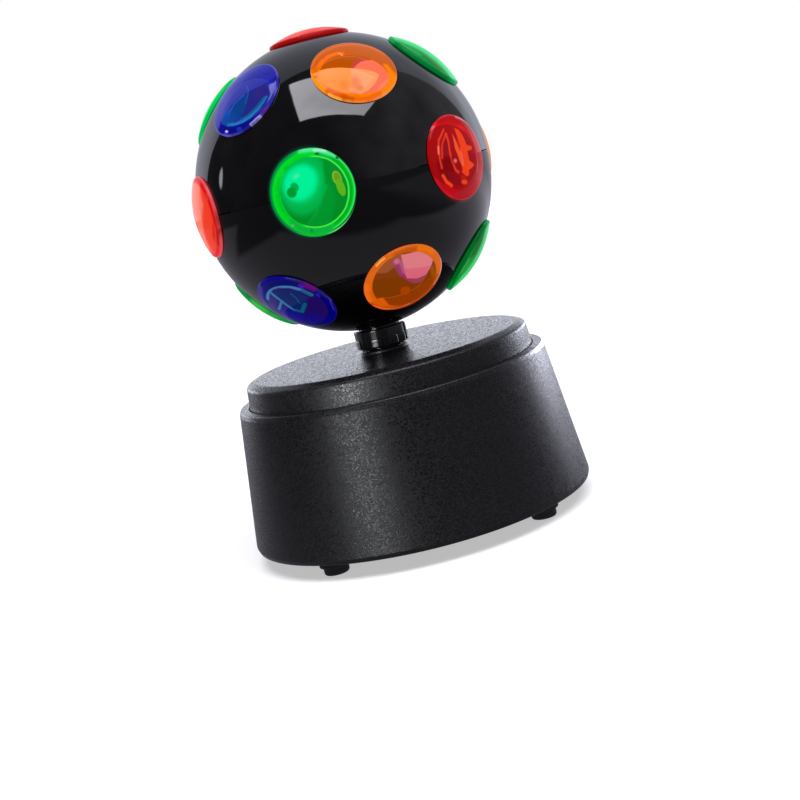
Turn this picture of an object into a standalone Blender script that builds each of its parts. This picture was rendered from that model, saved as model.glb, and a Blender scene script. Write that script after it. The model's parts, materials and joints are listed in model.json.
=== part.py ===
"""A battery-driven disco ball light: a black ball with nineteen coloured lenses turns on a
hollow hub above a round tapered base. A fixed stem runs up through the hub and carries the
LEDs in the middle of the ball. A small geared motor in the base drives the hub through a
pair of spur gears.

Metres, +Z up. The origin is on the turning axis, in the plane the rubber feet stand on.
The switch is at +Y (the back). All sizes below are in millimetres and are scaled by MM.
"""

import math

import bmesh
import bpy
from mathutils import Matrix, Vector

MM = 0.001

# Ball
BALL_R = 46.0
BALL_WALL = 2.0
BALL_Z = 111.3
SEAM = 0.3
BALL_SIDES = 36
LENS_LATITUDE = 42.6
LENS_TURN = -16.75
LENS_RIM_R = 12.5
LENS_APEX = 48.1
LENS_SPIGOT_R = 9.9
LENS_HOLE_R = 10.3
LENS_SIDES = 16

# Base housing and cap
BASE_SIDES = 48
BASE_FOOT_Z = 5.0
BASE_R = 54.9
SHOULDER_R = 49.8
SHOULDER_Z = 48.3
HOUSING_TOP = 49.9
OPENING_R = 46.35
WALL = 2.2
LEDGE_R = 38.5
LEDGE_Z = (42.0, 44.7)
CAP_R = 46.0
CAP_TOP = 57.7
CAP_TOP_R = 45.3
BOSS_R = 7.8
BOSS_TOP = 58.7
BOSS_BORE_R = 6.9

# Bottom plate, battery bay and door
PLATE_R = 52.1
PLATE_Z = (5.6, 8.0)
BAY_X, BAY_Y = 24.0, 31.8
BAY_WALL = 2.4
BAY_Z = (7.7, 24.0)
BAY_ROOF = 25.6
DOOR_X = 24.85
DOOR_Y = (-32.55, 32.65)
DOOR_Z = (5.65, 7.2)
DOOR_AXIS = (-31.75, 6.42)
CELL_R = 7.1
CELL_LENGTH = 50.5
CELL_PITCH = 15.6
CELL_Z = 15.9

# Feet and bottom screws
FOOT_RADIUS = 46.0
FOOT_ANGLES = (45, 135, 225, 315)
SCREW_RADIUS = 46.5
SCREW_ANGLES = (0, 120, 240)

# Deck and drive train
DECK_R = 45.9
DECK_Z = (45.0, 47.0)
DECK_SCREW_Y = 41.6
GEAR_MODULE = 1.0
GEAR_TEETH = 36
PINION_TEETH = 12
CENTRES = GEAR_MODULE * (GEAR_TEETH + PINION_TEETH) / 2
GEAR_Z = (50.0, 53.5)
ADDENDUM = 0.85
DEDENDUM = 1.25
THINNING = 0.18
PRESSURE_ANGLE = math.radians(20)
MOTOR_SCREW_Y = 14.5

# Hub, stem and lamp
HUB_NECK_R = 6.2
HUB_SLEEVE_R = 4.9
HUB_BORE_R = 3.45
STEM_R = 3.0
STEM_BORE_R = 1.8
STEM_TOP = 99.6

# Switch, in the rear wall
SWITCH_Z = 20.0
SWITCH_TRAVEL = 4.0


for old in list(bpy.data.objects):
    bpy.data.objects.remove(old, do_unlink=True)

parts = bpy.data.collections.new("disco_ball_light")
cutters = bpy.data.collections.new("cutters")
cutters.hide_render = True
bpy.context.scene.collection.children.link(parts)
bpy.context.scene.collection.children.link(cutters)


def material(name, colour, roughness, metallic=0.0, transmission=0.0):
    made = bpy.data.materials.new(name)
    made.use_nodes = True
    shader = made.node_tree.nodes["Principled BSDF"]
    shader.inputs["Base Color"].default_value = (*colour, 1.0)
    shader.inputs["Roughness"].default_value = roughness
    shader.inputs["Metallic"].default_value = metallic
    shader.inputs["Transmission Weight"].default_value = transmission
    made.diffuse_color = (*colour, 1.0)
    return made


GLOSS_BLACK = material("gloss_black", (0.006, 0.006, 0.008), 0.12)
GRAIN_BLACK = material("grain_black", (0.018, 0.018, 0.020), 0.55)
RUBBER = material("rubber", (0.012, 0.012, 0.012), 0.85)
WHITE_PLASTIC = material("white_plastic", (0.72, 0.72, 0.69), 0.40)
NATURAL_PLASTIC = material("natural_plastic", (0.60, 0.58, 0.52), 0.45)
STEEL = material("steel", (0.55, 0.55, 0.56), 0.35, 1.0)
BRASS = material("brass", (0.60, 0.42, 0.18), 0.35, 1.0)
CELL_JACKET = material("cell_jacket", (0.10, 0.12, 0.16), 0.30, 0.4)
BOARD = material("board", (0.02, 0.16, 0.07), 0.45)
LED_CLEAR = material("led_clear", (0.85, 0.85, 0.85), 0.08, 0.0, 0.8)
WIRE = material("wire", (0.35, 0.02, 0.02), 0.50)
LENS = {
    "red": material("lens_red", (0.80, 0.02, 0.02), 0.06, 0.0, 0.8),
    "green": material("lens_green", (0.00, 0.60, 0.12), 0.06, 0.0, 0.8),
    "blue": material("lens_blue", (0.02, 0.05, 0.60), 0.06, 0.0, 0.8),
    "orange": material("lens_orange", (0.95, 0.30, 0.02), 0.06, 0.0, 0.8),
}


def shade(mesh):
    mesh.shade_smooth()
    mesh.set_sharp_from_angle(angle=math.radians(35))


def place(name, mesh, finish, at=(0, 0, 0), parent=None, helper=False):
    obj = bpy.data.objects.new(name, mesh)
    obj.location = Vector(at) * MM
    if finish is not None and not mesh.materials:
        mesh.materials.append(finish)
    (cutters if helper else parts).objects.link(obj)
    if helper:
        obj.hide_render = True
        obj.display_type = "WIRE"
    if parent is not None:
        obj.parent = parent
    return obj


def profile_mesh(name, points, ring):
    """An open or closed line in the XZ plane, turned later by a Screw modifier."""
    made = bmesh.new()
    verts = [made.verts.new((r * MM, 0, z * MM)) for r, z in points]
    for a, b in zip(verts, verts[1:]):
        made.edges.new((a, b))
    if ring:
        made.edges.new((verts[-1], verts[0]))
    mesh = bpy.data.meshes.new(name)
    made.to_mesh(mesh)
    made.free()
    return mesh


def turn(obj, sides):
    screw = obj.modifiers.new("Turn", "SCREW")
    screw.axis = "Z"
    screw.angle = 2 * math.pi
    screw.steps = screw.render_steps = sides
    screw.use_merge_vertices = True
    screw.merge_threshold = 0.00001
    screw.use_smooth_shade = False
    return obj


def turned(name, points, finish, sides=24, at=(0, 0, 0), parent=None, helper=False):
    """Points run down the outer side. A profile off the axis closes into a ring."""
    ring = not (points[0][0] == 0 and points[-1][0] == 0)
    return turn(place(name, profile_mesh(name, points, ring), finish, at, parent, helper), sides)


def solid_mesh(name, shapes):
    """Boxes and cylinders as one mesh. Overlapping ones are joined with a Boolean by the caller."""
    made = bmesh.new()
    for shape in shapes:
        shape(made)
    mesh = bpy.data.meshes.new(name)
    made.to_mesh(mesh)
    made.free()
    return mesh


def box(x, y, z):
    def add(made):
        size = Vector((x[1] - x[0], y[1] - y[0], z[1] - z[0])) * MM
        middle = Vector((x[0] + x[1], y[0] + y[1], z[0] + z[1])) * (MM / 2)
        bmesh.ops.create_cube(
            made, size=1.0, matrix=Matrix.Translation(middle) @ Matrix.Diagonal((*size, 1.0))
        )

    return add


def cylinder(radius, z, x=0.0, y=0.0, sides=24, top=None, direction=None, spin=0.0):
    """A cylinder or cone about Z, or about another direction through the local origin."""

    def add(made):
        matrix = Matrix.Translation(Vector((x, y, (z[0] + z[1]) / 2)) * MM)
        matrix = matrix @ Matrix.Rotation(spin, 4, "Z")
        if direction is not None:
            matrix = direction.to_track_quat("Z", "Y").to_matrix().to_4x4() @ matrix
        bmesh.ops.create_cone(
            made,
            cap_ends=True,
            segments=sides,
            radius1=radius * MM,
            radius2=(radius if top is None else top) * MM,
            depth=(z[1] - z[0]) * MM,
            matrix=matrix,
        )

    return add


def solid(name, shapes, finish, at=(0, 0, 0), parent=None, helper=False):
    return place(name, solid_mesh(name, shapes), finish, at, parent, helper)


def boolean(obj, other, operation):
    change = obj.modifiers.new(operation.title(), "BOOLEAN")
    change.operation = operation
    change.solver = "EXACT"
    change.object = other
    return obj


def cut(obj, shapes, parent=None, at=(0, 0, 0)):
    helper = solid(obj.name + "_cut", shapes, None, at, parent, helper=True)
    return boolean(obj, helper, "DIFFERENCE")


def join(obj, shapes, parent=None, at=(0, 0, 0)):
    helper = solid(obj.name + "_join", shapes, None, at, parent, helper=True)
    return boolean(obj, helper, "UNION")


def polar(radius, degrees):
    angle = math.radians(degrees)
    return radius * math.cos(angle), radius * math.sin(angle)


# ---------------------------------------------------------------- base housing

WALL_SLOPE = (BASE_R - SHOULDER_R) / (SHOULDER_Z - 6.0)


def housing_r(z):
    return BASE_R - WALL_SLOPE * (z - 6.0)


housing = turned(
    "base_housing",
    [
        (OPENING_R, HOUSING_TOP),
        (48.4, HOUSING_TOP),
        (49.4, 49.4),
        (SHOULDER_R, SHOULDER_Z),
        (BASE_R, 6.0),
        (BASE_R - 0.3, BASE_FOOT_Z),
        (53.2, BASE_FOOT_Z),
        (housing_r(8.5) - WALL, 8.5),
        (housing_r(LEDGE_Z[0]) - WALL, LEDGE_Z[0]),
        (LEDGE_R, LEDGE_Z[0]),
        (LEDGE_R, LEDGE_Z[1]),
        (46.3, LEDGE_Z[1]),
        (OPENING_R, 45.2),
    ],
    GRAIN_BLACK,
    BASE_SIDES,
)

# Three screw posts with ribs to the wall, and two ribs that hold the switch body.
posts = []
ribs = []
for angle in SCREW_ANGLES:
    px, py = polar(SCREW_RADIUS, angle)
    posts.append(cylinder(3.8, (8.3, 24.0), px, py, 20))


def rib_at(angle):
    def add(made):
        size = Vector((6.0, 2.0, 13.4)) * MM
        matrix = (
            Matrix.Rotation(math.radians(angle), 4, "Z")
            @ Matrix.Translation(Vector((49.4, 0, 15.2)) * MM)
            @ Matrix.Diagonal((*size, 1.0))
        )
        bmesh.ops.create_cube(made, size=1.0, matrix=matrix)

    return add


join(housing, posts)
for number, angle in enumerate(SCREW_ANGLES):
    rib = solid(f"base_housing_rib_{number + 1}", [rib_at(angle)], None, helper=True)
    boolean(housing, rib, "UNION")
switch_ribs = solid(
    "base_housing_switch_ribs",
    [
        box((7.2, 8.6), (44.0, 51.0), (14.5, 25.5)),
        box((-8.6, -7.2), (44.0, 51.0), (14.5, 25.5)),
    ],
    None,
    helper=True,
)
boolean(housing, switch_ribs, "UNION")
holes = [box((-4.4, 4.4), (44.0, 60.0), (SWITCH_Z - 2.2, SWITCH_Z + 2.2))]
for angle in SCREW_ANGLES:
    px, py = polar(SCREW_RADIUS, angle)
    holes.append(cylinder(1.65, (7.0, 19.0), px, py, 12))
for side in (1, -1):
    holes.append(cylinder(1.6, (40.0, 46.0), 0, side * DECK_SCREW_Y, 12))
cut(housing, holes)

# ---------------------------------------------------------------- cap

cap = turned(
    "base_cap",
    [
        (BOSS_BORE_R, BOSS_TOP),
        (7.5, BOSS_TOP),
        (BOSS_R, BOSS_TOP - 0.3),
        (BOSS_R, CAP_TOP),
        (42.8, CAP_TOP),
        (44.1, CAP_TOP - 0.4),
        (45.0, CAP_TOP - 1.3),
        (CAP_TOP_R, CAP_TOP - 2.5),
        (CAP_R, HOUSING_TOP),
        (CAP_R, 47.3),
        (44.0, 47.3),
        (43.5, 54.6),
        (42.4, 55.7),
        (BOSS_BORE_R, 55.7),
    ],
    GRAIN_BLACK,
    BASE_SIDES,
)
join(
    cap,
    [cylinder(3.4, (47.3, 56.5), 0, side * DECK_SCREW_Y, 16) for side in (1, -1)],
)
cut(
    cap,
    [cylinder(1.45, (46.0, 54.0), 0, side * DECK_SCREW_Y, 12) for side in (1, -1)],
)

# ---------------------------------------------------------------- bottom plate with battery bay

plate = solid("bottom_plate", [cylinder(PLATE_R, PLATE_Z, sides=BASE_SIDES)], GRAIN_BLACK)
join(
    plate,
    [
        box(
            (-BAY_X - BAY_WALL, BAY_X + BAY_WALL),
            (-BAY_Y - BAY_WALL, BAY_Y + BAY_WALL),
            (PLATE_Z[0] + 0.4, BAY_ROOF),
        )
    ],
)
bay = solid(
    "bottom_plate_bay",
    [box((-BAY_X, BAY_X), (-BAY_Y, BAY_Y), (7.0, BAY_Z[1]))],
    None,
    helper=True,
)
boolean(plate, bay, "DIFFERENCE")
recess = solid(
    "bottom_plate_recess",
    [box((-25.2, 25.2), (-33.0, 33.0), (4.0, BAY_Z[0]))],
    None,
    helper=True,
)
boolean(plate, recess, "DIFFERENCE")
hooks = solid(
    "bottom_plate_hook_slots",
    [
        box((side * 12 - 3.5, side * 12 + 3.5), (-34.5, -31.5), (6.2, 9.1))
        for side in (1, -1)
    ],
    None,
    helper=True,
)
boolean(plate, hooks, "DIFFERENCE")
holes = []
for angle in FOOT_ANGLES:
    fx, fy = polar(FOOT_RADIUS, angle)
    holes.append(cylinder(2.5, (4.0, 9.0), fx, fy, 16))
for angle in SCREW_ANGLES:
    sx, sy = polar(SCREW_RADIUS, angle)
    holes.append(cylinder(1.8, (4.0, 9.0), sx, sy, 16))
cut(plate, holes)
sinks = []
for angle in SCREW_ANGLES:
    sx, sy = polar(SCREW_RADIUS, angle)
    sinks.append(cylinder(3.4, (4.0, 6.9), sx, sy, 20))
sinks.append(cylinder(6.0, (4.0, 6.5), 0.0, 38.5, 24))
sink = solid("bottom_plate_sinks", sinks, None, helper=True)
boolean(plate, sink, "DIFFERENCE")

for number, angle in enumerate(FOOT_ANGLES):
    fx, fy = polar(FOOT_RADIUS, angle)
    turned(
        f"foot_{number + 1}",
        [
            (0, 10.0),
            (1.8, 10.0),
            (2.9, 8.3),
            (2.1, 8.3),
            (2.1, 5.3),
            (4.9, 5.2),
            (4.9, 2.7),
            (3.9, 2.3),
            (3.9, 0.4),
            (3.5, 0),
            (0, 0),
        ],
        RUBBER,
        14,
        at=(fx, fy, 0),
    )

for number, angle in enumerate(SCREW_ANGLES):
    sx, sy = polar(SCREW_RADIUS, angle)
    turned(
        f"bottom_screw_{number + 1}",
        [(0, 17.5), (1.3, 16.2), (1.3, 6.55), (3.0, 6.55), (2.6, 5.75), (0, 5.7)],
        STEEL,
        12,
        at=(sx, sy, 0),
    )

# ---------------------------------------------------------------- battery door, hooked at -Y

door_axis = bpy.data.objects.new("battery_door_axis", None)
parts.objects.link(door_axis)
door_axis.location = Vector((0, DOOR_AXIS[0], DOOR_AXIS[1])) * MM
dy, dz = DOOR_AXIS
door = solid(
    "battery_door",
    [
        box(
            (-DOOR_X, DOOR_X),
            (DOOR_Y[0] - dy, DOOR_Y[1] - dy),
            (DOOR_Z[0] - dz, DOOR_Z[1] - dz),
        )
    ],
    GRAIN_BLACK,
    parent=door_axis,
)
join(
    door,
    [
        box((side * 12 - 3.0, side * 12 + 3.0), (-34.0 - dy, -31.0 - dy), (6.5 - dz, 7.1 - dz))
        for side in (1, -1)
    ],
    parent=door_axis,
)

# ---------------------------------------------------------------- cells and contacts

for number, side in enumerate((-1, 0, 1)):
    facing = 1 if number == 1 else -1
    half = CELL_LENGTH / 2
    cell = turned(
        f"battery_cell_{number + 1}",
        [
            (0, half),
            (2.7, half),
            (2.7, half - 1.3),
            (6.6, half - 1.4),
            (CELL_R, half - 2.0),
            (CELL_R, -half + 0.5),
            (6.6, -half),
            (0, -half),
        ],
        CELL_JACKET,
        20,
        at=(side * CELL_PITCH, 0, CELL_Z),
    )
    cell.rotation_euler = (-facing * math.pi / 2, 0, 0)


def cone_spring(name, x, end, towards):
    """A coil that narrows from the strip at y = end to the flat end of the cell."""
    curve = bpy.data.curves.new(name, "CURVE")
    curve.dimensions = "3D"
    curve.bevel_depth = 0.42 * MM
    curve.bevel_resolution = 1
    curve.use_fill_caps = True
    turns, per_turn, length = 2.5, 9, 4.6
    count = int(turns * per_turn) + 1
    spline = curve.splines.new("POLY")
    spline.points.add(count - 1)
    for i in range(count):
        share = i / (count - 1)
        radius = 4.4 - 2.1 * share
        angle = 2 * math.pi * turns * share
        spline.points[i].co = (
            (x + radius * math.cos(angle)) * MM,
            (end + towards * length * share) * MM,
            (CELL_Z + radius * math.sin(angle)) * MM,
            1,
        )
    made = bpy.data.objects.new(name, curve)
    parts.objects.link(made)
    bpy.context.view_layer.update()
    mesh = bpy.data.meshes.new_from_object(
        made.evaluated_get(bpy.context.evaluated_depsgraph_get())
    )
    where = made.matrix_world.copy()
    bpy.data.objects.remove(made, do_unlink=True)
    work = bmesh.new()
    work.from_mesh(mesh)
    bmesh.ops.remove_doubles(work, verts=work.verts, dist=0.000001)
    bmesh.ops.recalc_face_normals(work, faces=work.faces)
    work.to_mesh(mesh)
    work.free()
    made = place(name, mesh, None, helper=True)
    made.matrix_world = where
    return made


CONTACTS = (
    ("battery_contact_1", 1, (-CELL_PITCH, 0.0), -CELL_PITCH),
    ("battery_contact_2", 1, (CELL_PITCH, CELL_PITCH), CELL_PITCH),
    ("battery_contact_3", -1, (-CELL_PITCH, -CELL_PITCH), None),
    ("battery_contact_4", -1, (0.0, CELL_PITCH), 0.0),
)
for name, end, (low, high), sprung in CONTACTS:
    face = end * 31.2
    back = end * 30.5
    strip = solid(
        name,
        [
            box(
                (low - 5.5, high + 5.5),
                (min(face, back), max(face, back)),
                (CELL_Z - 5.5, CELL_Z + 5.5),
            )
        ],
        STEEL,
    )
    if sprung is not None:
        spring = cone_spring(name + "_spring", sprung, end * 30.85, -end)
        boolean(strip, spring, "UNION")
    flat = [x for x in (low, high) if sprung is None or abs(x - sprung) > 1]
    if flat:
        dimple = solid(
            name + "_dimple",
            [box((flat[0] - 2.0, flat[0] + 2.0), (26.0, 30.9) if end > 0 else (-30.9, -26.0), (CELL_Z - 2.0, CELL_Z + 2.0))],
            None,
            helper=True,
        )
        boolean(strip, dimple, "UNION")

# ---------------------------------------------------------------- switch in the rear wall

switch = solid(
    "switch_body",
    [box((-6.8, 6.8), (43.0, 49.4), (SWITCH_Z - 3.6, SWITCH_Z + 3.6))],
    STEEL,
)
cut(switch, [box((-4.6, 4.6), (45.0, 52.0), (SWITCH_Z - 2.0, SWITCH_Z + 2.0))])
knob = solid(
    "switch_knob",
    [box((-1.9, 1.9), (-4.4, 4.6), (-1.5, 1.5))],
    GLOSS_BLACK,
    at=(-SWITCH_TRAVEL / 2, 50.1, SWITCH_Z),
)
ridges = solid(
    "switch_knob_cut",
    [
        box((-1.35, -0.55), (4.2, 5.0), (-2.0, 2.0)),
        box((0.55, 1.35), (4.2, 5.0), (-2.0, 2.0)),
    ],
    None,
    at=(-SWITCH_TRAVEL / 2, 50.1, SWITCH_Z),
    helper=True,
)
boolean(knob, ridges, "DIFFERENCE")

# ---------------------------------------------------------------- motor deck and motor

deck = solid("motor_deck", [cylinder(DECK_R, DECK_Z, sides=BASE_SIDES)], NATURAL_PLASTIC)
join(
    deck,
    [
        cylinder(6.8, (38.0, 46.0), 0, 0, 24),
        cylinder(2.4, (38.0, 46.0), -30.0, 9.0, 12),
        cylinder(2.4, (38.0, 46.0), -30.0, -9.0, 12),
    ],
)
cut(
    deck,
    [
        cylinder(3.3, (36.0, 49.0), 0, 0, 20),
        cylinder(2.6, (43.0, 49.0), CENTRES, 0, 20),
        cylinder(1.5, (43.0, 49.0), CENTRES, MOTOR_SCREW_Y, 12),
        cylinder(1.5, (43.0, 49.0), CENTRES, -MOTOR_SCREW_Y, 12),
        cylinder(1.6, (43.0, 49.0), 0, DECK_SCREW_Y, 12),
        cylinder(1.6, (43.0, 49.0), 0, -DECK_SCREW_Y, 12),
    ],
)

for number, side in enumerate((1, -1)):
    turned(
        f"deck_screw_{number + 1}",
        [(0, 53.4), (1.15, 52.4), (1.15, 41.7), (2.8, 41.7), (2.4, 40.3), (0, 40.2)],
        STEEL,
        12,
        at=(0, side * DECK_SCREW_Y, 0),
    )
    turned(
        f"motor_screw_{number + 1}",
        [(0, 48.8), (2.1, 48.7), (2.5, 47.3), (1.1, 47.3), (1.1, 42.2), (0, 41.6)],
        STEEL,
        12,
        at=(CENTRES, side * MOTOR_SCREW_Y, 0),
    )

gearbox = solid(
    "motor_gearbox", [cylinder(12.0, (35.5, 44.7), CENTRES, 0, 28)], WHITE_PLASTIC
)
join(
    gearbox,
    [box((CENTRES - 3.4, CENTRES + 3.4), (-17.6, 17.6), (42.6, 44.5))],
)
cut(
    gearbox,
    [
        cylinder(1.85, (38.5, 46.0), CENTRES, 0, 16),
        cylinder(1.4, (40.0, 46.0), CENTRES, MOTOR_SCREW_Y, 12),
        cylinder(1.4, (40.0, 46.0), CENTRES, -MOTOR_SCREW_Y, 12),
    ],
)
turned(
    "motor_can",
    [(0, 35.2), (9.5, 35.2), (10.0, 34.7), (10.0, 28.1), (9.5, 27.6), (3.0, 27.6), (3.0, 26.5), (0, 26.5)],
    STEEL,
    28,
    at=(CENTRES, 0, 0),
)

# ---------------------------------------------------------------- gears


def gear_outline(teeth, first):
    """Involute teeth, each thinned at the pitch line for backlash. first is a tooth's angle."""
    pitch_r = GEAR_MODULE * teeth / 2
    base_r = pitch_r * math.cos(PRESSURE_ANGLE)
    tip_r = pitch_r + ADDENDUM * GEAR_MODULE
    root_r = pitch_r - DEDENDUM * GEAR_MODULE
    involute = math.tan(PRESSURE_ANGLE) - PRESSURE_ANGLE
    at_pitch = (math.pi * GEAR_MODULE / 2 - THINNING) / (2 * pitch_r)

    def half(radius):
        if radius <= base_r:
            return at_pitch + involute
        angle = math.acos(base_r / radius)
        return at_pitch + involute - (math.tan(angle) - angle)

    start = max(base_r, root_r + 0.1)
    radii = [root_r] + [start + (tip_r - start) * i / 2 for i in range(3)]
    points = []
    for tooth in range(teeth):
        middle = first + 2 * math.pi * tooth / teeth
        for side, order in ((-1, radii), (1, radii[::-1])):
            for radius in order:
                angle = middle + side * half(radius)
                points.append((radius * math.cos(angle), radius * math.sin(angle)))
    return points


def circle_points(radius, count, x=0.0, y=0.0):
    return [
        (x + radius * math.cos(2 * math.pi * i / count), y + radius * math.sin(2 * math.pi * i / count))
        for i in range(count)
    ]


def flat_solid(name, outlines, z, finish, at=(0, 0, 0), parent=None, helper=False):
    """A filled 2D curve, extruded both ways from its middle plane, made a closed mesh."""
    curve = bpy.data.curves.new(name, "CURVE")
    curve.dimensions = "2D"
    curve.fill_mode = "BOTH"
    curve.extrude = (z[1] - z[0]) / 2 * MM
    for outline in outlines:
        spline = curve.splines.new("POLY")
        spline.points.add(len(outline) - 1)
        for point, (x, y) in zip(spline.points, outline):
            point.co = (x * MM, y * MM, 0, 1)
        spline.use_cyclic_u = True
    made = bpy.data.objects.new(name, curve)
    parts.objects.link(made)
    bpy.context.view_layer.update()
    mesh = bpy.data.meshes.new_from_object(
        made.evaluated_get(bpy.context.evaluated_depsgraph_get())
    )
    bpy.data.objects.remove(made, do_unlink=True)
    work = bmesh.new()
    work.from_mesh(mesh)
    bmesh.ops.remove_doubles(work, verts=work.verts, dist=0.000001)
    bmesh.ops.translate(work, verts=work.verts, vec=(0, 0, (z[0] + z[1]) / 2 * MM))
    bmesh.ops.recalc_face_normals(work, faces=work.faces)
    work.to_mesh(mesh)
    work.free()
    mesh.name = name
    return place(name, mesh, finish, at, parent, helper)


ball_axis = bpy.data.objects.new("ball_axis", None)
parts.objects.link(ball_axis)

drive_gear = flat_solid(
    "drive_gear",
    [gear_outline(GEAR_TEETH, math.pi / GEAR_TEETH), circle_points(5.2, 24)]
    + [circle_points(3.2, 12, *polar(11.0, 72 * i)) for i in range(5)],
    GEAR_Z,
    WHITE_PLASTIC,
    parent=ball_axis,
)

pinion = flat_solid(
    "motor_pinion",
    [gear_outline(PINION_TEETH, 0.0)],
    (49.7, 53.9),
    BRASS,
    at=(CENTRES, 0, 0),
)
shaft = solid(
    "motor_pinion_shaft",
    [cylinder(1.5, (39.2, 52.0), 0, 0, 16)],
    None,
    at=(CENTRES, 0, 0),
    helper=True,
)
boolean(pinion, shaft, "UNION")

# ---------------------------------------------------------------- hub, bush, washer, collar

turned(
    "ball_hub",
    [
        (HUB_BORE_R, 71.2),
        (10.4, 71.2),
        (11.0, 70.7),
        (11.0, 69.2),
        (HUB_NECK_R, 68.0),
        (HUB_NECK_R, 58.9),
        (HUB_SLEEVE_R, 58.9),
        (HUB_SLEEVE_R, 48.4),
        (HUB_BORE_R, 48.4),
    ],
    GLOSS_BLACK,
    24,
    parent=ball_axis,
)
turned(
    "shaft_bush",
    [
        (5.2, 58.5),
        (6.55, 58.5),
        (6.55, 55.4),
        (9.0, 55.4),
        (9.0, 54.2),
        (5.2, 54.2),
    ],
    BRASS,
    24,
)
turned(
    "thrust_washer",
    [(3.5, 48.1), (7.4, 48.1), (7.4, 47.3), (3.5, 47.3)],
    BRASS,
    24,
)
collar = turned(
    "collar_ring",
    [(6.55, 65.35), (7.7, 65.35), (8.05, 65.0), (8.05, 59.7), (7.8, 59.4), (6.55, 59.4)],
    GLOSS_BLACK,
    28,
    parent=ball_axis,
)


def tab_at(angle, z, width, reach):
    def add(made):
        size = Vector((1.4, width, z[1] - z[0])) * MM
        matrix = (
            Matrix.Rotation(math.radians(angle), 4, "Z")
            @ Matrix.Translation(Vector((reach - 0.7, 0, (z[0] + z[1]) / 2)) * MM)
            @ Matrix.Diagonal((*size, 1.0))
        )
        bmesh.ops.create_cube(made, size=1.0, matrix=matrix)

    return add


join(
    collar,
    [tab_at(60 * i + 12, (59.6, 62.4), 3.4, 8.45) for i in range(6)]
    + [tab_at(60 * i + 42, (59.6, 65.1), 1.4, 8.4) for i in range(6)],
    parent=ball_axis,
)

# ---------------------------------------------------------------- ball shells and lenses


def lens_direction(latitude, azimuth):
    """Azimuth is measured from -Y, the front, towards +X."""
    lat, az = math.radians(latitude), math.radians(azimuth)
    return Vector(
        (math.sin(az) * math.cos(lat), -math.cos(az) * math.cos(lat), math.sin(lat))
    )


LENSES = [("lens_top", 90.0, 0.0, "red")]
RING_COLOURS = ("orange", "green", "blue", "orange", "green", "blue")
MIDDLE_COLOURS = ("green", "red", "orange", "red", "blue", "red")
for i in range(6):
    LENSES.append((f"lens_upper_{i + 1}", LENS_LATITUDE, LENS_TURN + 30 + 60 * i, RING_COLOURS[i]))
for i in range(6):
    LENSES.append((f"lens_middle_{i + 1}", 0.0, LENS_TURN + 60 * i, MIDDLE_COLOURS[i]))
for i in range(6):
    LENSES.append((f"lens_lower_{i + 1}", -LENS_LATITUDE, LENS_TURN + 30 + 60 * i, RING_COLOURS[i]))

ball_centre = bpy.data.objects.new("ball_centre", None)
parts.objects.link(ball_centre)
ball_centre.location = (0, 0, BALL_Z * MM)
ball_centre.parent = ball_axis


def arc(radius, low, high, steps):
    """Points on a circle about the ball's centre, from the latitude high down to low."""
    return [
        (
            radius * math.cos(math.radians(high + (low - high) * i / steps)),
            radius * math.sin(math.radians(high + (low - high) * i / steps)),
        )
        for i in range(steps + 1)
    ]


OUTER, INNER = BALL_R, BALL_R - BALL_WALL
edge_out = math.degrees(math.asin(SEAM / 2 / OUTER))
edge_in = math.degrees(math.asin(SEAM / 2 / INNER))

upper_points = [(0, OUTER)] + arc(OUTER, edge_out, 90, 8)[1:]
upper_points += arc(INNER, edge_in, 90, 5)[::-1][:-1] + [(0, INNER)]
upper = turned(
    "ball_upper_shell", upper_points, GLOSS_BLACK, BALL_SIDES, parent=ball_centre
)

pole = math.degrees(math.acos(6.6 / OUTER))
pole_in = math.degrees(math.acos(6.6 / INNER))
lower_points = arc(OUTER, -pole, -edge_out, 8)
lower_points += arc(INNER, -pole_in, -4.4, 5)[::-1]
lower_points += [(42.7, -3.2), (42.7, 2.2), (43.55, 2.2), (43.55, -SEAM / 2)]
lower = turned(
    "ball_lower_shell", lower_points, GLOSS_BLACK, BALL_SIDES, parent=ball_centre
)

lens_holes = solid(
    "lens_holes",
    [
        cylinder(LENS_HOLE_R, (36.0, 52.0), sides=16, direction=lens_direction(lat, az))
        for _, lat, az, _ in LENSES
    ],
    None,
    parent=ball_centre,
    helper=True,
)
boolean(upper, lens_holes, "DIFFERENCE")
boolean(lower, lens_holes, "DIFFERENCE")

LENS_PROFILE = [
    (0, LENS_APEX),
    (6.6, 47.35),
    (12.25, 45.45),
    (LENS_RIM_R, 44.75),
    (LENS_SPIGOT_R, 45.28),
    (LENS_SPIGOT_R, 41.0),
    (8.9, 41.0),
    (8.7, 45.5),
    (0, 46.9),
]
lens_mesh = {
    colour: profile_mesh("lens_" + colour, LENS_PROFILE, False) for colour in LENS
}
for name, latitude, azimuth, colour in LENSES:
    lens = turn(
        place(name, lens_mesh[colour], LENS[colour], parent=ball_centre), LENS_SIDES
    )
    lens.rotation_mode = "QUATERNION"
    lens.rotation_quaternion = lens_direction(latitude, azimuth).to_track_quat("Z", "Y")

# ---------------------------------------------------------------- stem and lamp, fixed to the base

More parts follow.
